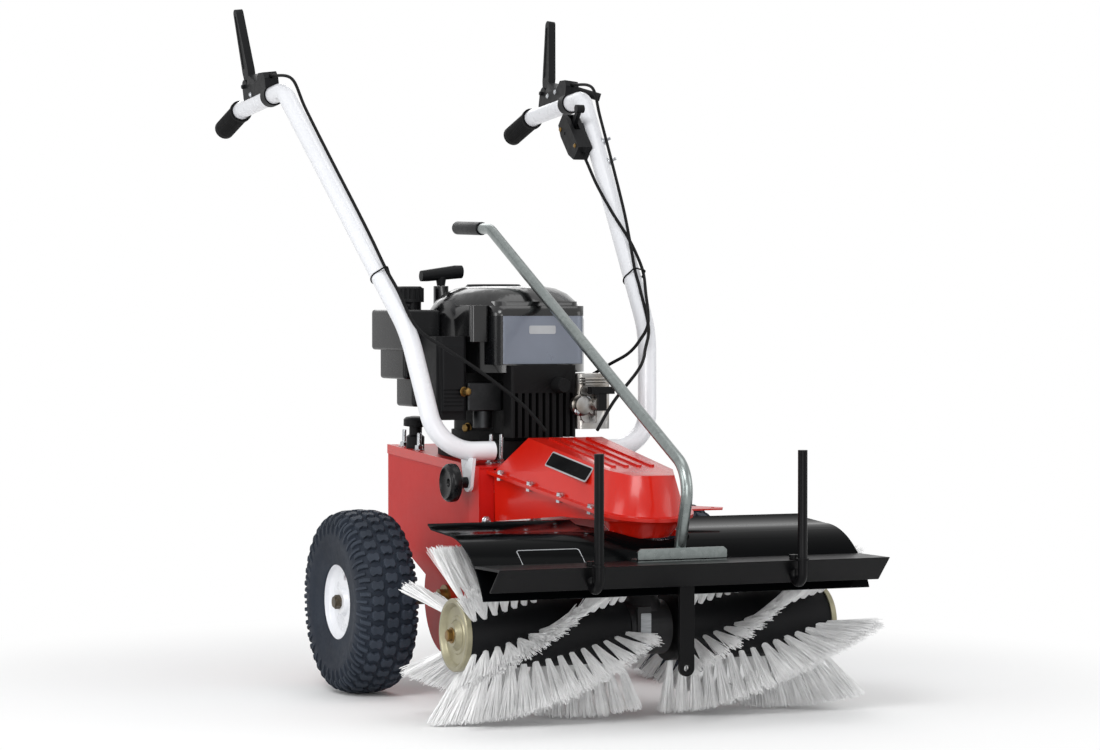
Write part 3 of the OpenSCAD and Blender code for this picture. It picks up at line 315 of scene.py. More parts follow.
HIGHLIGHTED_TREAD = Finish("tyre tread with painted highlight", "tyre", (0.215, 0.24, 0.28), (0.16, 0.18, 0.21), 0.60, 0.08, patch=10, fine=700,
              depth=0.25, shine=0.13)
BRONZE = Finish("bronze bush", "bronze", (0.52, 0.41, 0.23), (0.42, 0.33, 0.18), 0.36, metal=0.9, patch=20, fine=600,
                depth=0.1)
TAN = Finish("yellow zinc cap", "tan_cap", (0.62, 0.60, 0.50), (0.53, 0.51, 0.42), 0.34, metal=0.55, patch=22,
             fine=400, depth=0.06)
NYLON = Finish("nylon filament", "nylon", (0.985, 0.985, 0.985), (0.94, 0.94, 0.94), 0.5, patch=60, fine=900,
               depth=0.03, shine=0.3)
ROPE = Finish("starter cord", "rope", (0.84, 0.82, 0.78), (0.70, 0.68, 0.64), 0.8, patch=300, fine=1500, depth=0.3)
EDGING = Finish("plate edging", "grey_paint", (0.70, 0.71, 0.72), (0.62, 0.63, 0.64), 0.40, metal=0.4, fine=800,
                depth=0.03)


class Pieces:
    def __init__(self, frame: dict[str, Any]) -> None:
        """Keeps the frame and finds each node's body.
        """
        self.nodes: dict[str, Object] = frame["nodes"]
        bodies = frame["record"]["behaviour"]["bodies"]
        self.body_of = {node: body for body, nodes in bodies.items() for node in nodes}
        self.seen: set[str] = set()
        self.shells: dict[str, BVHTree] = {}

    def coat(self, finish: Finish, *nodes: str) -> None:
        """Gives CAD nodes whose shape is right a finish.

        Args:
            finish: the surface.
            nodes: names of the CAD nodes.
        """
        for name in nodes:
            slots = self.nodes[name].data.materials
            slots.clear()
            slots.append(finish.material())
            self.seen.add(name)
            LOG.info("node %s wears %s", name, finish.name)

    def add(self, name: str, mesh: Mesh, finish: Finish, body: str, stands_for: Iterable[str] = (),
            smooth: float | None = SMOOTH_ANGLE) -> Object:
        """Adds a finished mesh as a piece that rides on a body.

        Args:
            name: the piece's name.
            mesh: geometry in the frame, in metres.
            finish: the surface.
            body: the body that carries it, or an empty text to leave it on no body.
            stands_for: CAD nodes that it replaces.
            smooth: edges sharper than this, in degrees, stay sharp; None keeps the mesh's own shading.

        Returns:
            The new object.
        """
        mesh.name = name
        mesh.materials.clear()
        mesh.materials.append(finish.material())
        if smooth is not None:
            mesh.shade_smooth()
            mesh.set_sharp_from_angle(angle=math.radians(smooth))
        piece = linked(name, mesh)
        if body:
            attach(piece, body)
        if stands_for:
            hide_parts(*stands_for)
            self.seen.update(stands_for)
        LOG.info("piece %s, %d faces", name, len(mesh.polygons))
        return piece

    def seat(self, node: str, start: Point, way: Point) -> tuple[Vector, Vector]:
        """Finds where a line first meets a CAD node.

        Args:
            node: the CAD node.
            start: where the line starts, in millimetres.
            way: its direction.

        Returns:
            The point in millimetres and the surface's direction there.
        """
        if node not in self.shells:
            data = self.nodes[node].data
            corners, faces = [v.co for v in data.vertices], [p.vertices for p in data.polygons]
            self.shells[node] = BVHTree.FromPolygons(corners, faces)
        spot, normal, _, _ = self.shells[node].ray_cast(Vector(start) * MM, Vector(way).normalized())
        if spot is None:
            LOG.warning("no seat on %s from %s", node, tuple(start))
            return Vector(start), Vector(way)
        return spot / MM, normal if normal.dot(Vector(way)) < 0 else -normal

    def rounded(self, node: str, finish: Finish, width: float, segments: int = 2, limit: float = 32.0,
                rim: float = 0.0) -> None:
        """Replaces a CAD node by a copy whose sharp edges are rounded.

        Args:
            node: the CAD node.
            finish: the surface.
            width: the bevel's width in millimetres.
            segments: steps round each bevel.
            limit: edges sharper than this, in degrees, are rounded.
            rim: if set, only outer edges of faces over this area, in square millimetres, are rounded.
        """
        work = bmesh.new()
        work.from_mesh(self.nodes[node].data)
        bmesh.ops.remove_doubles(work, verts=work.verts, dist=WELD)
        bmesh.ops.dissolve_limit(work, angle_limit=math.radians(FLAT_ANGLE), verts=work.verts, edges=work.edges)
        mesh = bpy.data.meshes.new(node)
        weights = self._rims(work, rim) if rim else []
        work.to_mesh(mesh)
        work.free()
        mesh.shade_smooth()
        mesh.set_sharp_from_angle(angle=math.radians(SMOOTH_ANGLE))
        holder = linked("holder", mesh)
        bevel = holder.modifiers.new("edge", "BEVEL")
        bevel.width = width * MM
        bevel.segments = segments
        bevel.limit_method = "WEIGHT" if rim else "ANGLE"
        bevel.angle_limit = math.radians(limit)
        bevel.use_clamp_overlap = not rim
        if rim:
            mesh.attributes.new("bevel_weight_edge", "FLOAT", "EDGE").data.foreach_set("value", weights)
        bevel.miter_outer = "MITER_ARC"
        bevel.harden_normals = True
        result = evaluated(holder)
        bpy.data.objects.remove(holder)
        self.add(f"{node}_formed", result, finish, self.body_of[node], [node], None)

    def rounded_all(self, *rows: tuple[Any, ...]) -> None:
        """Rounds several CAD nodes, each given by the arguments for one."""
        for row in rows:
            self.rounded(*row)

    @staticmethod
    def _rims(work: bmesh.types.BMesh, area: float) -> list[float]:
        """Weighs each edge for a bevel.

        Args:
            work: the mesh.
            area: what a face has to exceed, in square millimetres.

        Returns:
            1 for each convex edge of a large face, 0 for the others.
        """
        steep, least = math.radians(60), area * MM * MM
        return [float(edge.calc_face_angle_signed(0.0) > steep
                      and max(face.calc_area() for face in edge.link_faces) > least) for edge in work.edges]


def linked(name: str, data: bpy.types.ID) -> Object:
    """Returns a new object of some data that is linked to the scene.

    Args:
        name: the object's name.
        data: a mesh, lamp or camera.

    Returns:
        The object.
    """
    made = bpy.data.objects.new(name, data)
    bpy.context.scene.collection.objects.link(made)
    return made


def shell_over(source: Mesh, cuts: Sequence[tuple[Point, Point]], out: float) -> Mesh:
    """Copies the part of a mesh that lies beyond some planes and lets it stand proud.

    Args:
        source: the mesh, which stays as it is.
        cuts: a point in millimetres and a direction for each plane; what lies behind it goes.
        out: how far the copy stands proud, in millimetres.

    Returns:
        The new mesh.
    """
    work = bmesh.new()
    work.from_mesh(source)
    bmesh.ops.remove_doubles(work, verts=work.verts, dist=WELD)
    for point, way in cuts:
        bmesh.ops.bisect_plane(work, geom=work.verts[:] + work.edges[:] + work.faces[:], clear_inner=True,
                               plane_co=Vector(point) * MM, plane_no=Vector(way))
    work.normal_update()
    pushes = [v.normal * v.calc_shell_factor() * out * MM for v in work.verts]
    for v, push in zip(work.verts, pushes):
        v.co += push
    mesh = bpy.data.meshes.new("shell")
    work.to_mesh(mesh)
    work.free()
    return mesh


def evaluated(holder: Object) -> Mesh:
    """Turns an object with modifiers into a plain mesh.

    Args:
        holder: a linked object.

    Returns:
        The result as a new mesh.
    """
    bpy.context.view_layer.update()
    graph = bpy.context.evaluated_depsgraph_get()
    return bpy.data.meshes.new_from_object(holder.evaluated_get(graph), depsgraph=graph)


def mesh_from(points: Iterable[Point], faces: Iterable[Sequence[int]], scale: float = MM) -> Mesh:
    """Makes a mesh from points in millimetres, with its faces turned outwards.

    Args:
        points: corner points.
        faces: corner numbers of each face.
        scale: factor to metres.

    Returns:
        The mesh.
    """
    work = bmesh.new()
    corners = [work.verts.new(Vector(p) * scale) for p in points]
    for face in faces:
        if len(set(face)) > 2:
            work.faces.new([corners[i] for i in dict.fromkeys(face)])
    bmesh.ops.remove_doubles(work, verts=work.verts, dist=1e-7)
    bmesh.ops.recalc_face_normals(work, faces=work.faces)
    mesh = bpy.data.meshes.new("form")
    work.to_mesh(mesh)
    work.free()
    return mesh


def joined(meshes: Sequence[Mesh]) -> Mesh:
    """Joins several meshes into one.

    Args:
        meshes: the meshes, which are used up.

    Returns:
        One mesh with all their faces.
    """
    work = bmesh.new()
    for mesh in meshes:
        work.from_mesh(mesh)
        bpy.data.meshes.remove(mesh)
    result = bpy.data.meshes.new("joined")
    work.to_mesh(result)
    work.free()
    return result


def moved(mesh: Mesh, matrix: Matrix) -> Mesh:
    """Moves a mesh by a matrix in metres and returns it."""
    mesh.transform(matrix)
    return mesh


def bands(rings: int, sides: int, capped: bool = True) -> list[tuple[int, ...]]:
    """Returns the faces between closed rings of points that follow each other.

    Args:
        rings: how many rings.
        sides: points on each ring.
        capped: whether the first and the last ring are closed by a face.

    Returns:
        Corner numbers of each face.
    """
    faces = []
    for i in range(rings - 1):
        for k in range(sides):
            j = (k + 1) % sides
            faces.append((i * sides + k, i * sides + j, (i + 1) * sides + j, (i + 1) * sides + k))
    ends = [tuple(range(sides)), tuple((rings - 1) * sides + k for k in range(sides))]
    return faces + ends if capped else faces


def prism(outline: Sequence[Flat], ends: Flat, axis: str = "Z") -> Mesh:
    """Makes a prism from a flat outline.

    Args:
        outline: points in the other two axes, in their order, in millimetres.
        ends: where it begins and ends along its axis.
        axis: X, Y or Z.

    Returns:
        The mesh.
    """
    spot = "XYZ".index(axis)
    points = [(*flat[:spot], end, *flat[spot:]) for end in ends for flat in outline]
    return mesh_from(points, bands(2, len(outline)))


def dotted(spots: Iterable[Point], vectors: dict[str, Iterable[Point]]) -> Mesh:
    """Makes loose points that carry vectors.

    Args:
        spots: the points in millimetres.
        vectors: under each name, one vector for each point.

    Returns:
        A mesh of points only.
    """
    mesh = bpy.data.meshes.new("dots")
    mesh.from_pydata([tuple(Vector(p) * MM) for p in spots], [], [])
    for title, values in vectors.items():
        layer = mesh.attributes.new(title, "FLOAT_VECTOR", "POINT")
        layer.data.foreach_set("vector", [c for v in values for c in v])
    return mesh


def turned(profile: Sequence[Flat], steps: int, axis: str = "Z", at: Point = (0, 0, 0)) -> Mesh:
    """Turns a closed or open profile into a solid of revolution.

    Args:
        profile: pairs of place along the axis and radius, in millimetres.
        steps: steps round the axis.
        axis: X, Y or Z.
        at: the axis' zero point in millimetres.

    Returns:
        The mesh.
    """
    order = {"X": (0, 1, 2), "Y": (1, 2, 0), "Z": (2, 0, 1)}[axis]
    points = []
    for along, radius in profile:
        for k in range(steps):
            angle = 2 * math.pi * k / steps
            p = [0.0, 0.0, 0.0]
            p[order[0]], p[order[1]], p[order[2]] = along, radius * math.cos(angle), radius * math.sin(angle)
            points.append([p[i] + at[i] for i in range(3)])
    faces = bands(len(profile), steps, capped=False)
    for i in (0, len(profile) - 1):
        if profile[i][1] > 1e-6 and profile[0] != profile[-1]:
            faces.append(tuple(i * steps + k for k in range(steps)))
    return mesh_from(points, faces)


@dataclass
class Route:
    """A line through corner points, in millimetres.

    With radii it bends round each corner, in steps of degrees, and its straight runs are split to a longest length.
    Without them it is a spline, in steps of millimetres.
    """

    corners: Sequence[Point]
    radii: Sequence[float] | None
    step: float
    longest: float = 25.0

    def points(self) -> list[Vector]:
        """Returns points along the route, close together in its bends."""
        return self._bent() if self.radii else self._spline()

    def _bent(self) -> list[Vector]:
        """Joins straight runs by arcs of each corner's radius.

        Returns:
            Points along the runs and arcs.
        """
        p = [Vector(c) for c in self.corners]
        out = [p[0]]
        for i in range(1, len(p) - 1):
            u, w = (p[i] - p[i - 1]).normalized(), (p[i + 1] - p[i]).normalized()
            angle, r = u.angle(w), self.radii[i]
            centre = p[i] + (w - u).normalized() * r / math.cos(angle / 2)
            ax = (p[i] - u * r * math.tan(angle / 2) - centre).normalized()
            ay = u.cross(w).normalized().cross(ax)
            n = max(2, math.ceil(math.degrees(angle) / self.step))
            out += [centre + r * (ax * math.cos(angle * k / n) + ay * math.sin(angle * k / n)) for k in range(n + 1)]
        out.append(p[-1])
        close = [out[0]]
        for a, b in zip(out, out[1:]):
            n = max(1, math.ceil((b - a).length / self.longest))
            close += [a.lerp(b, k / n) for k in range(1, n + 1)]
        return close

    def _spline(self) -> list[Vector]:
        """Draws a smooth curve through the corners.

        Returns:
            Points along the curve.
        """
        p = [Vector(c) for c in self.corners]
        out = []
        for i in range(len(p) - 1):
            a, b, c, d = p[max(0, i - 1)], p[i], p[i + 1], p[min(len(p) - 1, i + 2)]
            n = max(3, round((c - b).length / self.step))
            for k in range(n):
                t = k / n
                out.append(0.5 * (2 * b + (c - a) * t + (2 * a - 5 * b + 4 * c - d) * t * t
                                  + (3 * b - a - 3 * c + d) * t ** 3))
        return out + [p[-1]]


def swept(points: Sequence[Vector], radius: float | Callable[[float], float], sides: int) -> Mesh:
    """Sweeps a round section along points.

    Args:
        points: the centre line in millimetres.
        radius: one radius, or a radius for each share of the way.
        sides: sides of the section.

    Returns:
        A closed mesh.
    """
    n = len(points)
    heads = [(points[min(n - 1, i + 1)] - points[max(0, i - 1)]).normalized() for i in range(n)]
    side = heads[0].orthogonal().normalized()
    corners = []
    for i in range(n):
        side = (side - heads[i] * side.dot(heads[i])).normalized()
        lift = heads[i].cross(side)
        r = radius(i / (n - 1)) if callable(radius) else radius
        for k in range(sides):
            a = 2 * math.pi * k / sides
            corners.append(points[i] + (side * math.cos(a) + lift * math.sin(a)) * r)
    return mesh_from(corners, bands(n, sides))


class Trees:
    """Geometry Nodes trees for what repeats on the machine."""

    def __init__(self) -> None:
        """Builds each tree once."""
        self.polar = self._array("polar array", polar=True)
        self.row = self._array("row array", polar=False)
        self.placed = self._placed()
        self.tufts = self._tufts()

    @staticmethod
    def _new(name: str, inputs: Sequence[tuple[str, str]]) -> tuple[NodeTree, Wiring, Node]:
        """Starts a tree with named inputs.

        Args:
            name: the tree's name.
            inputs: each input's name and socket type.

        Returns:
            The tree, its wiring and its input node.
        """
        tree = bpy.data.node_groups.new(name, "GeometryNodeTree")
        tree.interface.new_socket("Geometry", in_out="OUTPUT", socket_type="NodeSocketGeometry")
        tree.interface.new_socket("Geometry", in_out="INPUT", socket_type="NodeSocketGeometry")
        for title, kind in inputs:
            tree.interface.new_socket(title, in_out="INPUT", socket_type=kind)
        wire = Wiring(tree)
        return tree, wire, wire.add("NodeGroupInput")

    @staticmethod
    def _close(wire: Wiring, instances: NodeSocket, material: NodeSocket) -> None:
        """Ends a tree with real geometry in one material.

        Args:
            wire: the tree's wiring.
            instances: what the tree has made.
            material: the surface.
        """
        real = wire.add("GeometryNodeRealizeInstances", {"Geometry": instances})
        dressed = wire.add("GeometryNodeSetMaterial", {"Geometry": real.outputs[0], "Material": material})
        wire.add("NodeGroupOutput", {"Geometry": dressed.outputs[0]})

    def _array(self, name: str, polar: bool) -> NodeTree:
        """Builds a tree that repeats its own mesh round an axis or along a step.

        Args:
            name: the tree's name.
            polar: round an axis through the frame's zero, or else along a step.

        Returns:
            The tree.
        """
        extra = [("Step", "NodeSocketVector")]
        if polar:
            extra = [("Axis", "NodeSocketVector"), ("Phase", "NodeSocketFloat")]
        tree, wire, given = self._new(name, [("Count", "NodeSocketInt"), *extra, ("Material", "NodeSocketMaterial")])
        give = given.outputs
        step = (0.0, 0.0, 0.0) if polar else give["Step"]
        line = wire.add("GeometryNodeMeshLine", {"Count": give["Count"], "Offset": step}, mode="OFFSET")
        copies = wire.add("GeometryNodeInstanceOnPoints", {"Points": line.outputs[0], "Instance": give["Geometry"]})
        if polar:
            index = wire.add("GeometryNodeInputIndex").outputs[0]
            angle = wire.math("DIVIDE", wire.math("MULTIPLY", index, 2 * math.pi), give["Count"])
            spin = wire.add("FunctionNodeAxisAngleToRotation", {"Axis": give["Axis"],
                                                                "Angle": wire.math("ADD", angle, give["Phase"])})
            wire.feed(copies, {"Rotation": spin.outputs[0]})
        self._close(wire, copies.outputs[0], give["Material"])
        return tree

    def _placed(self) -> NodeTree:
        """Builds a tree that sets a part on each point.

        Returns:
            A tree for points that carry the vector face, to which each part turns.
        """
        tree, wire, given = self._new("placed parts", [("Part", "NodeSocketObject"),
                                                       ("Material", "NodeSocketMaterial")])
        part = wire.add("GeometryNodeObjectInfo", {"Object": given.outputs["Part"]})
        spin = wire.add("FunctionNodeAlignRotationToVector", {"Vector": wire.named("face")}, axis="Z")
        dots = wire.add("GeometryNodeMeshToPoints", {"Mesh": given.outputs["Geometry"]})
        copies = wire.add("GeometryNodeInstanceOnPoints", {"Points": dots.outputs[0],
                                                           "Instance": part.outputs["Geometry"],
                                                           "Rotation": spin.outputs[0]})
        self._close(wire, copies.outputs[0], given.outputs["Material"])
        return tree

    def _tufts(self) -> NodeTree:
        """Builds a tree that grows a bundle of filaments from each tuft's point.

        Returns:
            A tree for points that carry the vectors aim, side and lift.
        """
        tree, wire, given = self._new("tufts", [
            ("Filaments", "NodeSocketInt"), ("Root", "NodeSocketFloat"), ("Tip", "NodeSocketFloat"),
            ("Flick", "NodeSocketFloat"), ("Thickness", "NodeSocketFloat"), ("Seed", "NodeSocketInt"),
            ("Material", "NodeSocketMaterial")])
        shortest, taper, bend = 0.93, 0.55, 3.2
        give = given.outputs
        dots = wire.add("GeometryNodeMeshToPoints", {"Mesh": give["Geometry"]})
        many = wire.add("GeometryNodeDuplicateElements", {"Geometry": dots.outputs[0], "Amount": give["Filaments"]},
                        domain="POINT")

        def chance(low: float, high: float, offset: int) -> NodeSocket:
            """Draws a number for each filament.

            Args:
                low: the least number.
                high: the largest number.
                offset: what sets this draw's seed apart.

            Returns:
                The number.
            """
            seed = wire.math("ADD", give["Seed"], offset)
            return wire.add("FunctionNodeRandomValue", {"Min": low, "Max": high, "Seed": seed},
                            data_type="FLOAT").outputs["Value"]

        aim, side, lift = wire.named("aim"), wire.named("side"), wire.named("lift")
        angle, radius = chance(0.0, 2 * math.pi, 1), wire.math("SQRT", chance(0.0, 1.0, 2))
        across = wire.math("MULTIPLY", wire.math("COSINE", angle), radius)
        up = wire.math("MULTIPLY", wire.math("SINE", angle), radius)
        disc = wire.vector("ADD", wire.scaled(side, across), wire.scaled(lift, up))
        root = wire.scaled(disc, give["Root"])
        stray = wire.add("FunctionNodeRandomValue", {"Min": (-1, -1, -1), "Max": (1, 1, 1), "Seed": give["Seed"]},
                         data_type="FLOAT_VECTOR").outputs[0]
        tip = wire.vector("ADD", wire.scaled(disc, give["Tip"]), wire.scaled(stray, give["Flick"]))
        reach = wire.vector("ADD", wire.scaled(aim, chance(shortest, 1.0, 3)), wire.vector("SUBTRACT", tip, root))
        length = wire.length(reach)
        seated = wire.add("GeometryNodeSetPosition", {"Geometry": many.outputs[0], "Offset": root})
        strand = wire.add("GeometryNodeMeshCone", {"Vertices": 3, "Side Segments": 2, "Radius Top": taper,
                                                   "Radius Bottom": 1.0, "Depth": 1.0}, fill_type="NGON")
        height = wire.add("ShaderNodeSeparateXYZ", {0: wire.add("GeometryNodeInputPosition").outputs[0]}).outputs[2]
        sag = wire.add("ShaderNodeCombineXYZ", {0: wire.math("MULTIPLY", wire.math("POWER", height, 2.0), bend)})
        strand = wire.add("GeometryNodeSetPosition", {"Geometry": strand.outputs[0], "Offset": sag.outputs[0]})
        spin = wire.add("FunctionNodeAlignRotationToVector", {"Vector": reach}, axis="Z")
        roll = wire.add("FunctionNodeAxisAngleToRotation", {"Axis": (0, 0, 1), "Angle": chance(0.0, 2 * math.pi, 4)})
        spin = wire.add("FunctionNodeRotateRotation", {0: spin.outputs[0], 1: roll.outputs[0]}, rotation_space="LOCAL")
        size = wire.add("ShaderNodeCombineXYZ", {0: give["Thickness"], 1: give["Thickness"], 2: length})
        copies = wire.add("GeometryNodeInstanceOnPoints", {"Points": seated.outputs[0], "Instance": strand.outputs[0],
                                                           "Rotation": spin.outputs[0], "Scale": size.outputs[0]})
        self._close(wire, copies.outputs[0], give["Material"])
        return tree

    @staticmethod
    def run(tree: NodeTree, mesh: Mesh, values: dict[str, Any]) -> Mesh:
        """Runs a tree on a mesh and returns the plain result.

        Args:
            tree: the Geometry Nodes tree.
            mesh: its input geometry, which is used up.
            values: inputs by name.

        Returns:
            The resulting mesh.
        """
        holder = linked("holder", mesh)
        modifier = holder.modifiers.new("nodes", "NODES")
        modifier.node_group = tree
        sockets = {s.name: s.identifier for s in tree.interface.items_tree if s.in_out == "INPUT"}
        for title, value in values.items():
            modifier[sockets[title]] = value
        result = evaluated(holder)
        holder.modifiers.remove(modifier)
        bpy.data.objects.remove(holder)
        bpy.data.meshes.remove(mesh)
        return result


@dataclass
class SubAssembly:
    """A group of pieces that are built and dressed together."""

    pieces: Pieces
    trees: Trees

    def build(self) -> None:
        """Makes the group's pieces."""
        raise NotImplementedError

    def ring(self, mesh: Mesh, count: int, axis: Point, finish: Finish, phase: float) -> Mesh:
        """Repeats a mesh round an axis.

        Args:
            mesh: the part, placed about the frame's zero.
            count: how many.
            axis: the axis' direction.
            finish: the surface.
            phase: a turn of the whole ring, in radians.

        Returns:
            The ring's mesh.
        """
        return self.trees.run(self.trees.polar, mesh, {"Count": count, "Axis": tuple(axis), "Phase": phase,
                                                       "Material": finish.material()})

    def row(self, mesh: Mesh, count: int, step: Point, finish: Finish) -> Mesh:
        """Repeats a mesh along a step in millimetres and returns the row's mesh."""
        return self.trees.run(self.trees.row, mesh, {"Count": count, "Step": tuple(Vector(step) * MM),
                                                     "Material": finish.material()})

    def fasten(self, name: str, part: Mesh, places: Sequence[tuple[Point, Point]], finish: Finish,
               body: str) -> None:
        """Sets a part on points, each turned to a direction, and adds them as one piece.

        Args:
            name: the piece's name.
            part: the part, with its foot at zero and its head along +Z.
            places: points in millimetres, each with the way that the head faces.
            finish: the surface.
            body: the body that carries them.
        """
        model = linked("model", part)
        dots = dotted([p for p, _ in places], {"face": [n for _, n in places]})
        made = self.trees.run(self.trees.placed, dots, {"Part": model, "Material": finish.material()})
        bpy.data.objects.remove(model)
        bpy.data.meshes.remove(part)
        self.pieces.add(name, made, finish, body)


def hex_bolt(width: float, height: float, washer: float) -> Mesh:
    """Makes a flanged hexagon head with a chamfered top.

    Args:
        width: across the corners, in millimetres.
        height: of the head.
        washer: diameter of its flange.

    Returns:
        The mesh, standing on zero.
    """
    half = width / 2
    head = turned([(0.4, half), (height - 1.0, half), (height - 0.3, width * 0.44), (height, width * 0.34)], 6)
    return joined([turned([(0, washer / 2), (1.0, washer / 2), (1.5, washer / 2 - 0.7), (1.6, 0.0)], 20), head])


def stud(height: float, width: float) -> Mesh:
    """Makes an upright stud with a nut and a washer near its foot.

    Args:
        height: of the stud, in millimetres.
        width: of its thread.

    Returns:
        The mesh, standing on zero.
    """
    rod = turned([(0, width / 2), (height - 1, width / 2), (height, width / 2 - 1)], 14)
    nut = turned([(1.5, width), (width, width), (width + 1, width * 0.85)], 6)
    return joined([rod, nut, turned([(0, width * 1.35), (1.6, width * 1.35)], 20)])


def plate_outline(width: float, height: float, corner: float) -> list[Flat]:
    """Returns the outline of a plate with round corners.

    Args:
        width: across the plate, in millimetres.
        height: up the plate.
        corner: radius of its corners.

    Returns:
        Six points for each corner, about the zero point.
    """
    outline = []
    for k in range(24):
        quarter = math.pi * (k // 6) / 2
        turn, middle = quarter + math.pi * (k % 6) / 10, quarter + math.pi / 4
        outline.append((math.copysign(width / 2 - corner, math.cos(middle)) + corner * math.cos(turn),
                        math.copysign(height / 2 - corner, math.sin(middle)) + corner * math.sin(turn)))
    return outline


def plaque(width: float, height: float, thick: float, corner: float, sunk: float = 0.6) -> Mesh:
    """Makes a bare plate with round corners that lies on zero and faces +Z, sunk a little into what it lies on."""
    return prism(plate_outline(width, height, corner), (-sunk, thick))


def lying(spot: Vector, normal: Vector, along: Point) -> Matrix:
    """Returns the matrix that lays a part on a surface with its X axis along a direction.

    Args:
        spot: the point in millimetres.
        normal: the surface's direction there.
        along: the way that the part's X axis runs.

    Returns:
        The matrix, in metres.
    """
    x = (Vector(along) - normal * Vector(along).dot(normal)).normalized()
    turn = Matrix((x, normal.cross(x), normal)).transposed()
    return Matrix.Translation(spot * MM) @ turn.to_4x4()


@dataclass
class Wheels(SubAssembly):
    """The two turf wheels: carcass, tread lugs, rim and hub."""

    track: float = 622.0
    axle_z: float = 165.0
    lugs: int = 38
    tread_r: float = 160.0
    shoulder_r: float = 150.0
    wall_r: float = 130.0
    crown: float = 0.0022
    carcass: tuple[Flat, ...] = (
        (36, 72.5), (44.4, 67), (46.4, 68.5), (47.6, 76), (50.4, 96), (53.6, 112), (54.4, 124), (52.2, 138), (47, 148),
        (39, 154), (28, 157.5), (14, 159), (0, 159.4))
    shoulder: tuple[Flat, ...] = ((54.2, 121), (53.6, 132), (50, 144), (44, 151.2), (38.5, 154.2))
    block: tuple[Flat, ...] = (
        (-10.5, -6), (-7, -9.5), (0, -6.5), (7, -9.5), (10.5, -6), (10.5, 3), (7, 8.0), (0, 5.0), (-7, 8.0), (-10.5, 3))

    def build(self) -> None:
        """Makes both wheels."""
        for side, word in SIDES:
            place = Matrix.Translation(Vector((side * self.track / 2, 0, self.axle_z)) * MM)
            body = f"wheel_{word}"
            # The carcass wears the darker copy of the tyre rubber, painted shade between the lugs; the tread wears the
            # lighter copy, a painted highlight on the lug tops.
            self.pieces.add(f"carcass_{word}", moved(self._carcass(), place), GROOVE_SHADED_CARCASS, body, [f"tyre_{word}"], 30)
            self.pieces.add(f"tread_{word}", moved(self._tread(), place), HIGHLIGHTED_TREAD, body, (), 30)
            self.pieces.rounded_all((f"rim_{word}", WHITE, 1.2), (f"axle_{word}", HUB, 0.8))

    def _carcass(self) -> Mesh:
        """Turns the tyre's carcass about the zero point.

        Returns:
            A closed mesh with its bead seats.
        """
        half = self._fine(self.carcass)
        profile = half + [(-x, r) for x, r in reversed(half[:-1])]
        return turned(profile + [(-30, 70), (30, 70), profile[0]], 96, "X")

    def _tread(self) -> Mesh:
        """Sets rows of tread blocks and shoulder ribs round the zero point.

        Returns:
            All the lugs of one tyre.
        """
        pitch = 2 * math.pi / self.lugs
        lugs = [(self._block(x), phase) for x, phase in ((-27.0, 0.0), (0.0, 0.5), (27.0, 0.0))]
        for side in (-1, 1):
            lugs += [(self._rib(side, 0.40, 1.0, 8.0, 5.4), 0.5), (self._rib(side, 0.0, 0.82, 5.6, 3.4), 0.0)]
        return joined([self.ring(lug, self.lugs, (1, 0, 0), HIGHLIGHTED_TREAD, phase * pitch) for lug, phase in lugs])

    @staticmethod
    def _fine(points: Sequence[Flat]) -> list[Flat]:
        """Smooths a profile with points along a spline."""
        line = Route([(x, r, 0) for x, r in points], None, 3.0).points()
        return [(p.x, p.y) for p in line]

    def _radius(self, x: float) -> float:
        """Returns the carcass' outer radius at a place across the tread."""
        top = [pair for pair in reversed(self.carcass) if pair[1] > self.wall_r]
        return float(np.interp(abs(x), [pair[0] for pair in top], [pair[1] for pair in top]))

    def _block(self, x0: float) -> Mesh:
        """Builds one waisted tread block in a row across x0.

        Args:
            x0: the row's middle across the tread, in millimetres.

        Returns:
            The block at the wheel's top.
        """
        points = []
        layers = ((1.12, -2.0), (1.0, 4.6), (0.88, 5.4))
        for grow, lift in layers:
            for px, ps in self.block:
                x = x0 + px * grow
                top = self._radius(x) + lift - self.crown * px * px
                angle = ps * grow / self.tread_r
                points.append((x, -top * math.sin(angle), top * math.cos(angle)))
        return mesh_from(points, bands(len(layers), len(self.block)))

    def _rib(self, side: int, start: float, end: float, width: float, height: float) -> Mesh:
        """Builds one shoulder rib that runs from the tread down the side wall.

        Args:
            side: which shoulder, -1 or 1.
            start: where it begins along the shoulder, as a share from the side wall.
            end: where it ends on the tread.
            width: across the rib, in millimetres.
            height: above the carcass.

        Returns:
            The rib at the wheel's top.
        """
        stations = 6
        line = self._fine(self.shoulder)
        picked = [line[round(f * (len(line) - 1))] for f in np.linspace(start, end, stations)]
        points = []
        for i, (x, r) in enumerate(picked):
            ahead, back = picked[min(i + 1, stations - 1)], picked[max(i - 1, 0)]
            normal = Vector((ahead[1] - back[1], back[0] - ahead[0], 0)).normalized()
            rise = height * min(1.0, 0.25 + 0.5 * i)
            section = ((-0.5, -1.0), (-0.42, rise * 0.85), (-0.3, rise), (0.3, rise), (0.42, rise * 0.85), (0.5, -1.0))
            for w, h in section:
                radius = r + normal.y * h
                angle = (w * width + (i - 2.5) * 0.5) / self.shoulder_r
                points.append((side * (x + normal.x * h), -radius * math.sin(angle), radius * math.cos(angle)))
        return mesh_from(points, bands(stations, len(section)))


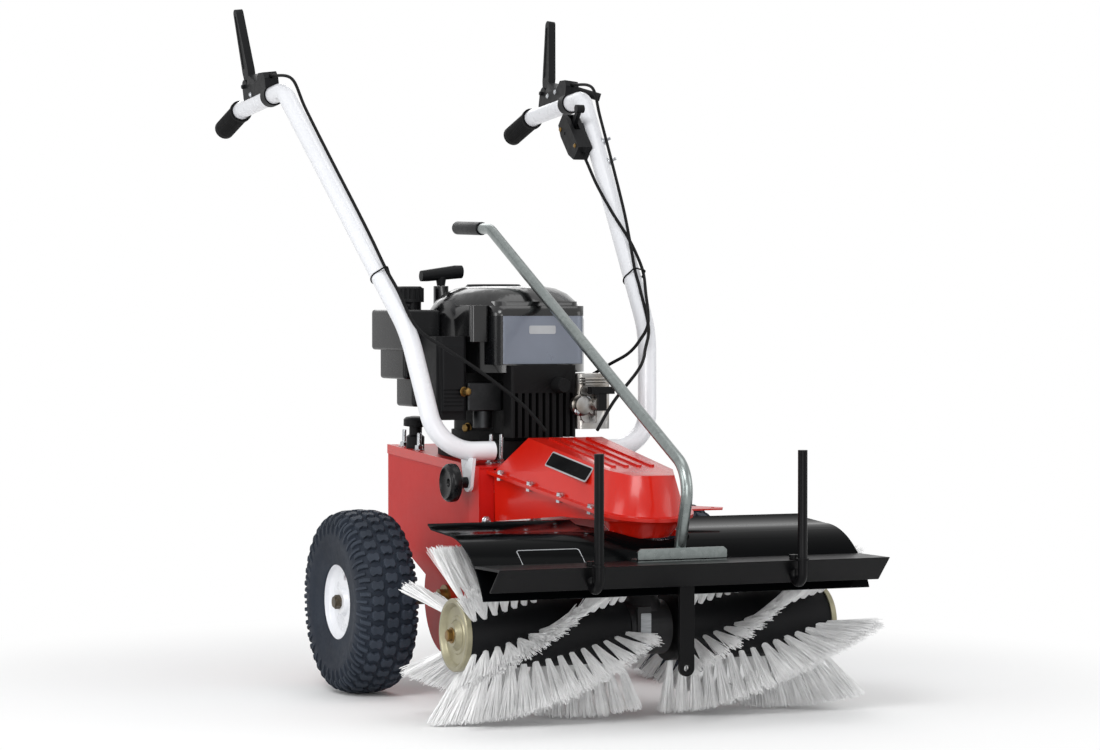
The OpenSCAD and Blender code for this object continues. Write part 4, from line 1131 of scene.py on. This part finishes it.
@dataclass
class Brush(SubAssembly):
    """The sweeping brush: drums, caps, shaft and its filament tufts."""

    axis: Flat = BRUSH_AXIS
    drum_r: float = 58.0
    tip_r: float = 149.0
    start: float = 46.0
    end: float = 336.0
    inset: float = 2.0
    root_gap: float = 0.5
    tip_gap: float = 2.5
    lean: float = 52.0
    tuck: float = -12.0
    rows: int = 6
    tufts: int = 15
    dense_from: float = 0.58
    oval: float = 0.65
    twist: float = 90.0
    starts: dict[int, float] = field(default_factory=lambda: {-1: -32.0, 1: 2.0})
    cap: tuple[Flat, ...] = (
        (0, 0), (0, 61), (8, 61), (10, 59.5), (10.6, 57), (10, 54), (7, 50.5), (2.4, 47.5), (1.4, 44), (1.4, 33),
        (3.2, 30.5), (3.2, 26), (9, 21), (12, 19), (12, 0))

    def build(self) -> None:
        """Makes the rotor's pieces."""
        for side, word in SIDES:
            mesh = self.trees.run(self.trees.tufts, self._points(side), {
                "Filaments": 108, "Root": 4.6 * MM, "Tip": 13.5 * MM, "Flick": 3.0 * MM, "Thickness": 0.8 * MM,
                "Seed": 40 + side, "Material": NYLON.material()})
            self.pieces.add(f"filaments_{word}", mesh, NYLON, "brush_rotor", [f"bristles_{word}"], 60)
        self.pieces.coat(MOULDED, "brush_drums")
        caps = [turned([(side * (self.end + a), r) for a, r in self.cap], 72, "X", (0, *self.axis)) for side in (-1, 1)]
        self.pieces.add("dished_caps", joined(caps), TAN, "brush_rotor", ["drum_caps"], 28)
        self.pieces.coat(DRAWN, "brush_shaft")
        ends = [self.pieces.seat("drum_caps", (side * 480, *self.axis), (-side, 0, 0)) for side in (-1, 1)]
        self.fasten("cap_bolts", hex_bolt(20, 9, 27), ends, BRONZE, "brush_rotor")

    def _points(self, side: int) -> Mesh:
        """Sets out the tufts of one half in helical rows.

        Args:
            side: -1 for the operator's right, 1 for the left.

        Returns:
            One point for each tuft, with the vectors aim, side and lift.
        """
        cells = 2 * self.tufts - 1
        length = self.end - self.start - 2 * self.inset
        spots, data = [], {"aim": [], "side": [], "lift": []}
        for row in range(self.rows):
            for i in range(cells):
                s = (i + 0.5) / cells
                if i % 2 and s < self.dense_from:
                    continue
                angle = math.radians(self.starts[side] + 360 * row / self.rows + side * self.twist * s)
                out = Vector((0, math.sin(angle), math.cos(angle)))
                x = self.start + self.inset + length * s
                foot = x - (length / cells if i % 2 else 0)
                fan = (self.tuck if s < 0.5 else self.lean) * abs(2 * s - 1) ** 1.5
                root = Vector((side * foot, *self.axis)) + out * (self.drum_r + self.root_gap)
                tip = Vector((side * (x + fan), *self.axis)) + out * (self.tip_r - self.tip_gap)
                spots.append(root)
                data["aim"].append((tip - root) * MM)
                data["side"].append((1.0, 0.0, 0.0))
                data["lift"].append((0.0, self.oval * out.z, -self.oval * out.y))
        return dotted(spots, data)


@dataclass
class BrushHead(SubAssembly):
    """The swinging head: hood, bumper, posts, lever and gearbox."""

    lever: tuple[Point, ...] = ((0, -654, 275), (0, -698, 418), (0, 134, 839), (0, 287.8, 844))
    lever_r: float = 10.0
    face_at: Point = (-15, -562.8, 148)

    def build(self) -> None:
        """Makes and dresses the head's pieces."""
        self.pieces.rounded_all(
            ("brush_hood", BLACK, 0.9), ("bumper", BAR_BLACK, 0.8), ("hook_posts", BAR_BLACK, 1.0),
            ("centre_post", BAR_BLACK, 0.8), ("turret", RED, 1.2), ("gearbox", IRON, 1.5))
        face = Matrix.Translation(Vector(self.face_at) * MM) @ Matrix.Rotation(math.radians(90), 4, "X")
        self.pieces.add("gearbox_face", moved(plaque(19, 60, 1.0, 2), face), DRAWN, self.pieces.body_of["gearbox"])
        self.pieces.coat(DRAWN, "brush_pulley")
        tube = swept(Route(self.lever, (0, 60, 60, 0), 3.0).points(), self.lever_r, 32)
        self.pieces.add("swivel_lever_bar", joined([tube, self._foot()]), ZINC, "brush_head", ["swivel_lever"])
        seats = [((side * 66, -652, 277), (0, 0, 1)) for side in (-1, 1)]
        self.fasten("foot_bolts", hex_bolt(13, 6, 16), seats, BRIGHT, "brush_head")
        low, high = Vector(self.lever[2]), Vector(self.lever[3])
        run = (high - low).normalized()
        sleeve = swept([high + run * a for a in (-116, -114, 1, 3.6)], lambda f: 12.5 if 0.2 < f < 0.9 else 11.0, 32)
        self.pieces.add("slim_grip", sleeve, MOULDED, "brush_head", ["lever_grip"])
        self.pieces.add("label_edge", self._label(-214, math.radians(51), 112, 44), EDGING, "brush_head")

    def _label(self, x: float, lean: float, width: float, height: float) -> Mesh:
        """Draws the outline of a bare label on the hood's round front.

        Args:
            x: the label's middle, in millimetres.
            lean: its middle's angle above the brush axis, in radians.
            width: along the hood.
            height: round the hood.

        Returns:
            A thin closed line.
        """
        far, corner, line_r = 400, 5, 0.8
        y, z = BRUSH_AXIS
        way = Vector((0, math.cos(lean), -math.sin(lean)))
        spot, _ = self.pieces.seat("brush_hood", Vector((x, y, z)) - way * far, way)
        radius = math.hypot(spot.y - y, spot.z - z) + 0.2
        line = []
        for across, rise in plate_outline(width, height, corner):
            angle = lean + rise / radius
            line.append(Vector((x + across, y - radius * math.cos(angle), z + radius * math.sin(angle))))
        return swept([*line, line[0]], line_r, 6)

    @staticmethod
    def _foot() -> Mesh:
        """Builds the lever's folded foot plate with clipped corners.

        Returns:
            The plate and its lip.
        """
        plate = [(-82, -671), (82, -671), (82, -645), (74, -633.2), (-74, -633.2), (-82, -645)]
        lip = [(-82, 275), (82, 275), (82, 290), (76, 295), (-76, 295), (-82, 290)]
        return joined([prism(plate, (273.0, 277.0)), prism(lip, (-671.0, -667.0), "Y")])


@dataclass
class Chassis(SubAssembly):
    """Folded chassis, belt housing and what is bolted to them."""

    flange: tuple[Flat, ...] = ((283, 434), (-80, 413.3), (-80, 396.3), (283, 417))
    boss: tuple[Flat, ...] = ((0, 17), (22, 17), (26, 12), (40, 12), (42, 23), (54, 23), (58, 19), (60, 8))

    def build(self) -> None:
        """Makes and dresses the chassis pieces."""
        self.pieces.rounded_all(("chassis_frame", PANEL_RED, 1.0), ("lower_housing", RED, 1.2),
                                ("belt_cover", RED, 3.0, 3, 14.0))
        self.pieces.coat(BRIGHT, "cover_bolts")
        self.pieces.coat(BRONZE, "axle_bushes")
        self.pieces.rounded("wheel_gearbox", CASTING, 2.0)
        self.pieces.coat(BELT, "drive_belts")
        self.pieces.coat(DRAWN, "crank_pulley", "gearbox_pulley", "belt_tensioner")
        place = lying(*self.pieces.seat("belt_cover", (-300, -385, 418), (1, 0, 0)), (0.03, -1, -0.14))
        self.pieces.add("plate_edge", moved(plaque(156, 29, 0.8, 4), place), EDGING, "chassis")
        self.pieces.add("name_plate_bare", moved(plaque(151, 24, 1.3, 3), place), BLACK, "chassis")
        self.fasten("deck_studs", stud(32, 8), self._on_deck((-128, 246), (-128, 172)), BRIGHT, "chassis")
        self.fasten("deck_boss", turned(self.boss, 28), self._on_deck((-122, 205)), MOULDED, "chassis")
        for side, word in SIDES:
            edge = prism(self.flange, (side * 145.15, side * 147.6), "X")
            self.pieces.add(f"deck_edge_{word}", edge, RED, "chassis", (), 20)
        seats = [self.pieces.seat("chassis_frame", (side * 131, -400, 313), (0, 1, 0)) for side in (-1, 1)]
        self.fasten("flange_bolts", hex_bolt(13, 6, 17), seats, BRIGHT, "chassis")
        self.fasten("deck_bolts", stud(52, 7), self._on_deck((-92, -82), (-72, -82)), BRIGHT, "chassis")

    def _on_deck(self, *spots: Flat) -> list[tuple[Vector, Vector]]:
        """Returns seats on the chassis from above, at points along X and Y."""
        return [self.pieces.seat("chassis_frame", (x, y, 600), (0, 0, -1)) for x, y in spots]


@dataclass
class Engine(SubAssembly):
    """The engine over the deck."""

    outlet: Flat = (70, 516)

    def build(self) -> None:
        """Makes and dresses the engine's pieces."""
        self.pieces.rounded_all(
            ("engine_block", CASTING, 2.0), ("cylinder_head", CASTING, 1.0), ("blower_housing", GLOSS, 3.0, 3),
            ("engine_shroud", SILVER_GREY, 4.0, 3), ("starter_screen", MOULDED, 1.0))
        self.pieces.rounded("fuel_tank", TANK, 6.0, 4, rim=2000)
        self.pieces.rounded_all(
            ("air_filter", MOULDED, 2.5), ("carburettor", ALLOY, 1.5), ("muffler", HEATED, 2.0),
            ("muffler_guard", HEATED, 0.8), ("spark_plug", RUBBER, 1.2), ("fuel_cap", MOULDED, 1.2),
            ("oil_cap", MOULDED, 1.0), ("starter_handle", MOULDED, 3.0, 3))
        rope = swept([Vector((-104, 122, 691 + 53 * i / 12)) for i in range(13)], 2.0, 10)
        cord = self.pieces.add("recoil_rope", rope, ROPE, "", ["starter_rope"])
        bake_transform(cord)
        plug = self.pieces.seat("engine_block", (-300, -100, 472), (0.85, 0.52, 0))
        self.fasten("drain_plug", hex_bolt(16, 9, 20), [plug], BRONZE, "chassis")
        self._cowl()
        self._muffler()
        fitting = self.pieces.seat("air_filter", (-140, -300, 541), (0, 1, 0))
        self.fasten("fuel_fitting", hex_bolt(15, 14, 18), [fitting], BRONZE, "chassis")
        place = lying(*self.pieces.seat("engine_shroud", (2, -400, 652), (0, 1, 0)), (1, 0, 0))
        self.pieces.add("badge_bare", moved(plaque(52, 15, 1.0, 3), place), EDGING, "chassis")

    def _cowl(self) -> None:
        """Lays the cowl's black top and end over the grey shroud."""
        shroud = self.pieces.nodes["engine_shroud"].data
        high = max(v.co.z for v in shroud.vertices) / MM
        top = shell_over(shroud, [((0, 0, high - 25), (0, 0, 1))], 0.9)
        self.pieces.add("cowl_top", top, GLOSS, "chassis", (), 30)
        end = shell_over(shroud, [((-75, 0, 0), (-1, 0, 0)), ((0, 0, high - 24.8), (0, 0, -1))], 0.9)
        self.pieces.add("cowl_end", end, TANK, "chassis", (), 30)

    def _muffler(self) -> None:
        """Adds the muffler's cap, cooling fins, outlet flange and bolts."""
        bars = [[(76, 536), (122, 536), (122, 549), (76, 549)], [(90, 506), (106, 506), (106, 537), (90, 537)]]
        cap = joined([prism(bar, (-152, -136), "Y") for bar in bars])
        self.pieces.add("muffler_cap", cap, MOULDED, "chassis", (), 20)
        fin = prism([(70, 553), (127, 553), (127, 555), (70, 555)], (-138, -113), "Y")
        fins = self.row(fin, 3, (0, 0, 5), HEATED)
        x, z = self.outlet
        flange = turned([(-136, 8), (-134, 16), (-128, 17), (-124, 20), (-113, 20)], 28, "Y", (x, 0, z))
        self.pieces.add("muffler_fins", joined([fins, flange]), HEATED, "chassis", (), 30)
        seats = [((x + a, -128, z + a), (0, -1, 0)) for a in (11.7, -11.7)]
        self.fasten("muffler_bolts", hex_bolt(9, 5, 11), seats, BRIGHT, "chassis")


@dataclass
class Handlebar(SubAssembly):
    """Tubes, grips, hand levers, throttle and control cables."""

    corners: tuple[Point, ...] = ((100, -113, 436), (206, -113, 436), (237, -49, 648), (313, 397.02, 1104),
                                  (313, 633.22, 1081), (313, 740.3, 1048.3))
    radii: tuple[float, ...] = (0, 78, 170, 46, 90, 0)
    tube_r: float = 17.0
    pivot_z: float = 380.0
    lever_pin: Point = (313, 571.22, 1123)
    splay: float = 6.5
    box_at: float = 0.845
    box_shift: Point = (-37, 0, -10)
    tie_at: float = 0.216
    tie_gap: float = 24.0
    tie_ways: Flat = (98, 50)
    cable_r: float = 3.0
    foot: tuple[Flat, ...] = (
        (-28, 424), (28, 424), (17, 380), (15.4, 372.8), (10.9, 367), (4, 363.5), (-4, 363.5), (-10.9, 367),
        (-15.4, 372.8), (-17, 380))
    knob: tuple[Flat, ...] = (
        (130, 5), (151.8, 5), (151.8, 10), (168, 10), (170, 14), (172, 30), (174.5, 33.6), (182, 34.6), (188, 33.8),
        (192, 31), (193.2, 28), (190, 24), (187.4, 16), (187, 8), (184, 6), (184, 0))

    def build(self) -> None:
        """Makes and dresses the handlebar's pieces."""
        for side, word in SIDES:
            self._tube(side, word)
            self.pieces.rounded(f"clutch_lever_{word}", MOULDED, 2.2, 3)
            self.pieces.add(f"clamp_knob_{word}", self._knob(side), TANK, self.pieces.body_of[f"knob_{word}"],
                            [f"knob_{word}"], 40)
            self._cable(f"clutch_wire_{word}", self._clutch_route(side), f"clutch_cable_{word}", 7)
            ways = self.tie_ways[:1] if side < 0 else self.tie_ways
            self.pieces.add(f"cable_tie_{word}", self._tie(side, ways), RUBBER, "handlebar")
        self._cable("throttle_wire", self._throttle_route(), "throttle_cable", 6)
        self.pieces.rounded_all(("tube_plugs", MOULDED, 1.5), ("grips", RUBBER, 0.8), ("lever_brackets", MOULDED, 1.5),
                                ("throttle_box", MOULDED, 2.5, 3), ("throttle_lever", MOULDED, 1.5))
        self._screws()

    def _on_tube(self, share: float) -> Vector:
        """Returns the point at a share of the tube's upper run, in millimetres."""
        return Vector(self.corners[2]).lerp(Vector(self.corners[3]), share)

    def _round(self, flat: Point) -> Vector:
        """Returns an offset from the upper run, given outwards and to the front."""
        run = Vector(self.corners[3]) - Vector(self.corners[2])
        return Vector((flat[0], 0, 0)) + Vector((0, -run.z, run.y)).normalized() * flat[1]

    def _beside(self, share: float, gap: float, way: float) -> Vector:
        """Returns a point beside the tube's upper run.

        Args:
            share: how far up the run.
            gap: from the tube's middle line, in millimetres.
            way: degrees round the tube, 0 outwards and 90 to the front.

        Returns:
            The point in millimetres.
        """
        turn = math.radians(way)
        return self._on_tube(share) + self._round((gap * math.cos(turn), gap * math.sin(turn)))

    def _splayed(self, offset: Point) -> Vector:
        """Turns a point outwards with the hand lever's bracket.

        Args:
            offset: the point from the lever's pin, in millimetres.

        Returns:
            The turned point on the left side.
        """
        low, high = Vector(self.corners[3]), Vector(self.corners[4])
        run = (high - low).normalized()
        base = low + run * ((self.lever_pin[1] - low.y) / run.y)
        turn = Matrix.Rotation(math.radians(self.splay), 3, run)
        return base + turn @ (Vector(self.lever_pin) + Vector(offset) - base)

    def _on_box(self, offset: Point) -> Vector:
        """Places a point that is given in the throttle box's own directions.

        Args:
            offset: the point from the box's middle, in millimetres.

        Returns:
            The point in the frame.
        """
        run = Vector(self.corners[3]) - Vector(self.corners[2])
        turn = Matrix.Rotation(-math.atan2(run.y, run.z), 3, "X")
        return self._on_tube(self.box_at) + Vector(self.box_shift) + turn @ Vector(offset)

    def _clutch_route(self, side: int) -> list[Vector]:
        """Lays out a clutch cable from its lever down to the belt cover.

        Args:
            side: -1 for the operator's right, 1 for the left.

        Returns:
            Points in millimetres.
        """
        line = [self._splayed((0, -104, 12)), self._splayed((0, -136, 12))]
        line += [self._beside(*spot) for spot in (
            (0.97, 46, 88), (0.85, 42, 86), (0.65, 39, 86), (0.45, 36, 88), (0.33, 31, 92),
            (self.tie_at, self.tie_gap, self.tie_ways[0]), (0.13, 25, 100))]
        line += [Vector(p) for p in (
            (230, -69, 657), (197, -125, 619), (159, -178, 583), (91, -213, 524), (50, -231, 474))]
        return [Vector((side * p.x, p.y, p.z)) for p in line]

    def _throttle_route(self) -> list[Vector]:
        """Lays out the throttle cable from its box down to the engine.

        Returns:
            Points in millimetres.
        """
        line = [self._on_box((0, -4, -44)), self._on_box((0, -4, -80))]
        line += [self._beside(*spot) for spot in (
            (0.6, 25, 165), (0.47, 23, 130), (0.36, 23, 90), (0.29, 23, 64),
            (self.tie_at, self.tie_gap, self.tie_ways[1]), (0.12, 27, 80))]
        return line + [Vector(p) for p in (
            (222, -84, 664), (200, -94, 632), (179, -89, 608), (152, -66, 588), (134, -23, 566.8))]

    def _knob(self, side: int) -> Mesh:
        """Turns a side's clamp knob, with a dished face and a neck, on its pivot."""
        return turned([(side * x, r) for x, r in self.knob], 48, "X", (0, self.corners[0][1], self.pivot_z))

    def _tie(self, side: int, ways: Sequence[float]) -> Mesh:
        """Draws a cable tie round a tube and the cables beside it.

        Args:
            side: -1 for the operator's right, 1 for the left.
            ways: where each cable lies round the tube, in degrees.

        Returns:
            The tie.
        """
        rounds = [(0.0, 0.0, self.tube_r + 0.9)]
        for way in map(math.radians, ways):
            rounds.append((self.tie_gap * math.cos(way), self.tie_gap * math.sin(way), self.cable_r + 0.9))
        line = []
        for k in range(61):
            u, v = math.cos(math.pi * k / 30), math.sin(math.pi * k / 30)
            a, b, r = max(rounds, key=lambda c: c[0] * u + c[1] * v + c[2])
            spot = self._on_tube(self.tie_at) + self._round((a + r * u, b + r * v))
            line.append(Vector((side * spot.x, spot.y, spot.z)))
        return swept(line, 1.5, 8)

    def _screws(self) -> None:
        """Sets screws in the lever brackets and the throttle box."""
        seats = []
        for side in (-1, 1):
            for offset in ((-60, -30, -12), (-60, -66, -6), (60, -30, -12)):
                spot, way = self._splayed(offset), (-side * offset[0], 0, 0)
                seats.append(self.pieces.seat("lever_brackets", (side * spot.x, spot.y, spot.z), way))
        self.fasten("bracket_screws", hex_bolt(8, 3.4, 10), seats, BRIGHT, "handlebar")
        run = Vector((0.75, -0.5, 0.43))
        seats = [(self._on_tube(share) + run.normalized() * 16.4, run) for share in (0.79, 0.70)]
        self.fasten("tube_studs", stud(16, 6), seats, BRIGHT, "handlebar")
        seats = [self.pieces.seat("throttle_box", self._on_box(p), (1, 0, 0)) for p in ((-60, -12, -36), (-60, 12, 36))]
        self.fasten("box_screws", hex_bolt(7, 3, 9), seats, BRONZE, "handlebar")

    def _tube(self, side: int, word: str) -> None:
        """Sweeps one handlebar tube and its foot plate.

        Args:
            side: -1 for the operator's right, 1 for the left.
            word: the side's name.
        """
        route = Route([(side * x, y, z) for x, y, z in self.corners], self.radii, 3.0).points()
        tube = swept(route, self.tube_r, 36)
        outline = [(self.corners[0][1] + y, z) for y, z in self.foot]
        foot = prism(outline, (side * 145.3, side * 151.3), "X")
        self.pieces.add(f"bar_{word}", joined([tube, foot]), WHITE, "handlebar", [f"handle_tube_{word}"])

    def _cable(self, name: str, route: Sequence[Point], node: str, held: int) -> None:
        """Lays one control cable as a fixed tube along its route, on no body.

        Args:
            name: the piece's name.
            route: its points in millimetres, from the hand end.
            node: the CAD node that it stands for.
            held: not used.
        """
        line = Route(route, None, 6.0).points()
        piece = self.pieces.add(name, swept(line, self.cable_r, 12), RUBBER, "", [node])
        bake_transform(piece)


@dataclass
class Studio:
    """Camera, lamps, pale floor and world."""

    eye: Point = (-2.4857, -5.6433, 0.688)
    look: Point = (88.89, 0.0, -24.3)
    lens: float = 110.2
    sensor: float = 36.0
    surround: Colour = (0.36, 0.365, 0.37)
    fade: Flat = (0.6, 1.4)
    reach: float = 40.0
    lamps: tuple[tuple[str, Point, Point, float, float], ...] = (
        ("key", (-2.6, -3.0, 3.4), (0, -0.1, 0.5), 1.8, 92),
        ("top", (0.4, -0.6, 3.6), (0, -0.1, 0.5), 2.0, 22),
        ("side", (-3.6, -0.6, 1.3), (0, 0, 0.45), 1.6, 30),
        ("low", (-1.2, -3.6, 0.7), (0, -0.4, 0.2), 1.4, 26),
        ("fill", (3.2, -2.6, 1.8), (0, 0, 0.5), 2.0, 26),
        ("rear", (0.8, 3.4, 2.6), (0, 0, 0.6), 2.0, 26))

    def build(self) -> None:
        """Sets up the studio."""
        scene = bpy.context.scene
        scene.view_settings.view_transform = "Standard"
        camera = bpy.data.cameras.new("camera")
        camera.lens, camera.sensor_width = self.lens, self.sensor
        camera.clip_end = 100
        holder = linked("camera", camera)
        holder.location = self.eye
        holder.rotation_euler = [math.radians(a) for a in self.look]
        scene.camera = holder
        for lamp in self.lamps:
            self._lamp(*lamp)
        self._world()
        self._floor()

    @staticmethod
    def _lamp(name: str, at: Point, aim: Point, size: float, power: float) -> None:
        """Hangs a square soft lamp.

        Args:
            name: the lamp's name.
            at: where it hangs, in metres.
            aim: the point it faces.
            size: its side, in metres.
            power: its power in watts.
        """
        data = bpy.data.lights.new(name, "AREA")
        data.energy, data.size = power, size
        lamp = linked(name, data)
        lamp.location = at
        lamp.rotation_euler = (Vector(aim) - Vector(at)).to_track_quat("-Z", "Y").to_euler()

    @staticmethod
    def _seen(wire: Wiring) -> NodeSocket:
        """Tells rays that show the backdrop from rays that light the object.

        Args:
            wire: the tree's wiring.

        Returns:
            1 for rays from the camera, mirrors and glass, else 0.
        """
        path = wire.add("ShaderNodeLightPath").outputs
        both = wire.math("MAXIMUM", path["Is Camera Ray"], path["Is Glossy Ray"])
        return wire.math("MAXIMUM", both, path["Is Transmission Ray"])

    def _world(self) -> None:
        """Makes a white surround that lights the object at a plain level."""
        world = bpy.data.worlds.new("studio")
        world.use_nodes = True
        bpy.context.scene.world = world
        wire = Wiring(world.node_tree)
        level = wire.mix(self._seen(wire), (*self.surround, 1), (1, 1, 1, 1))
        wire.feed(world.node_tree.nodes["Background"], {"Color": level})

    def _floor(self) -> None:
        """Lays a pale floor that fades into the white surround."""
        far = self.reach
        mesh = mesh_from([(-far, -far, 0), (far, -far, 0), (far, far, 0), (-far, far, 0)], [(0, 1, 2, 3)], 1.0)
        floor = linked("floor", mesh)
        made = bpy.data.materials.new("pale floor")
        made.use_nodes = True
        made.cycles.emission_sampling = "NONE"
        nodes, wire = made.node_tree.nodes, Wiring(made.node_tree)
        ground = wire.feed(nodes["Principled BSDF"], {"Base Color": (0.97, 0.97, 0.97, 1), "Roughness": 0.9})
        place = wire.add("ShaderNodeTexCoord").outputs["Object"]
        share = wire.ranged(wire.length(place), self.fade, interpolation_type="SMOOTHSTEP")
        glow = wire.add("ShaderNodeEmission", {"Color": (1, 1, 1, 1), "Strength": 1.0})
        mixed = wire.add("ShaderNodeMixShader", {0: wire.math("MULTIPLY", share, self._seen(wire)),
                                                 1: ground.outputs[0], 2: glow.outputs[0]})
        wire.feed(nodes["Material Output"], {"Surface": mixed.outputs[0]})
        mesh.materials.append(made)


def main() -> None:
    """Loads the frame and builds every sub-assembly."""
    logging.basicConfig(level=logging.INFO, format="%(name)s: %(message)s")
    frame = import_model()
    Studio().build()
    pieces, trees = Pieces(frame), Trees()
    for group in (Handlebar, Wheels, Brush, BrushHead, Chassis, Engine):
        group(pieces, trees).build()
    for name in sorted(set(pieces.nodes) - pieces.seen):
        LOG.warning("node %s has no finish", name)


if __name__ == "__main__":
    main()
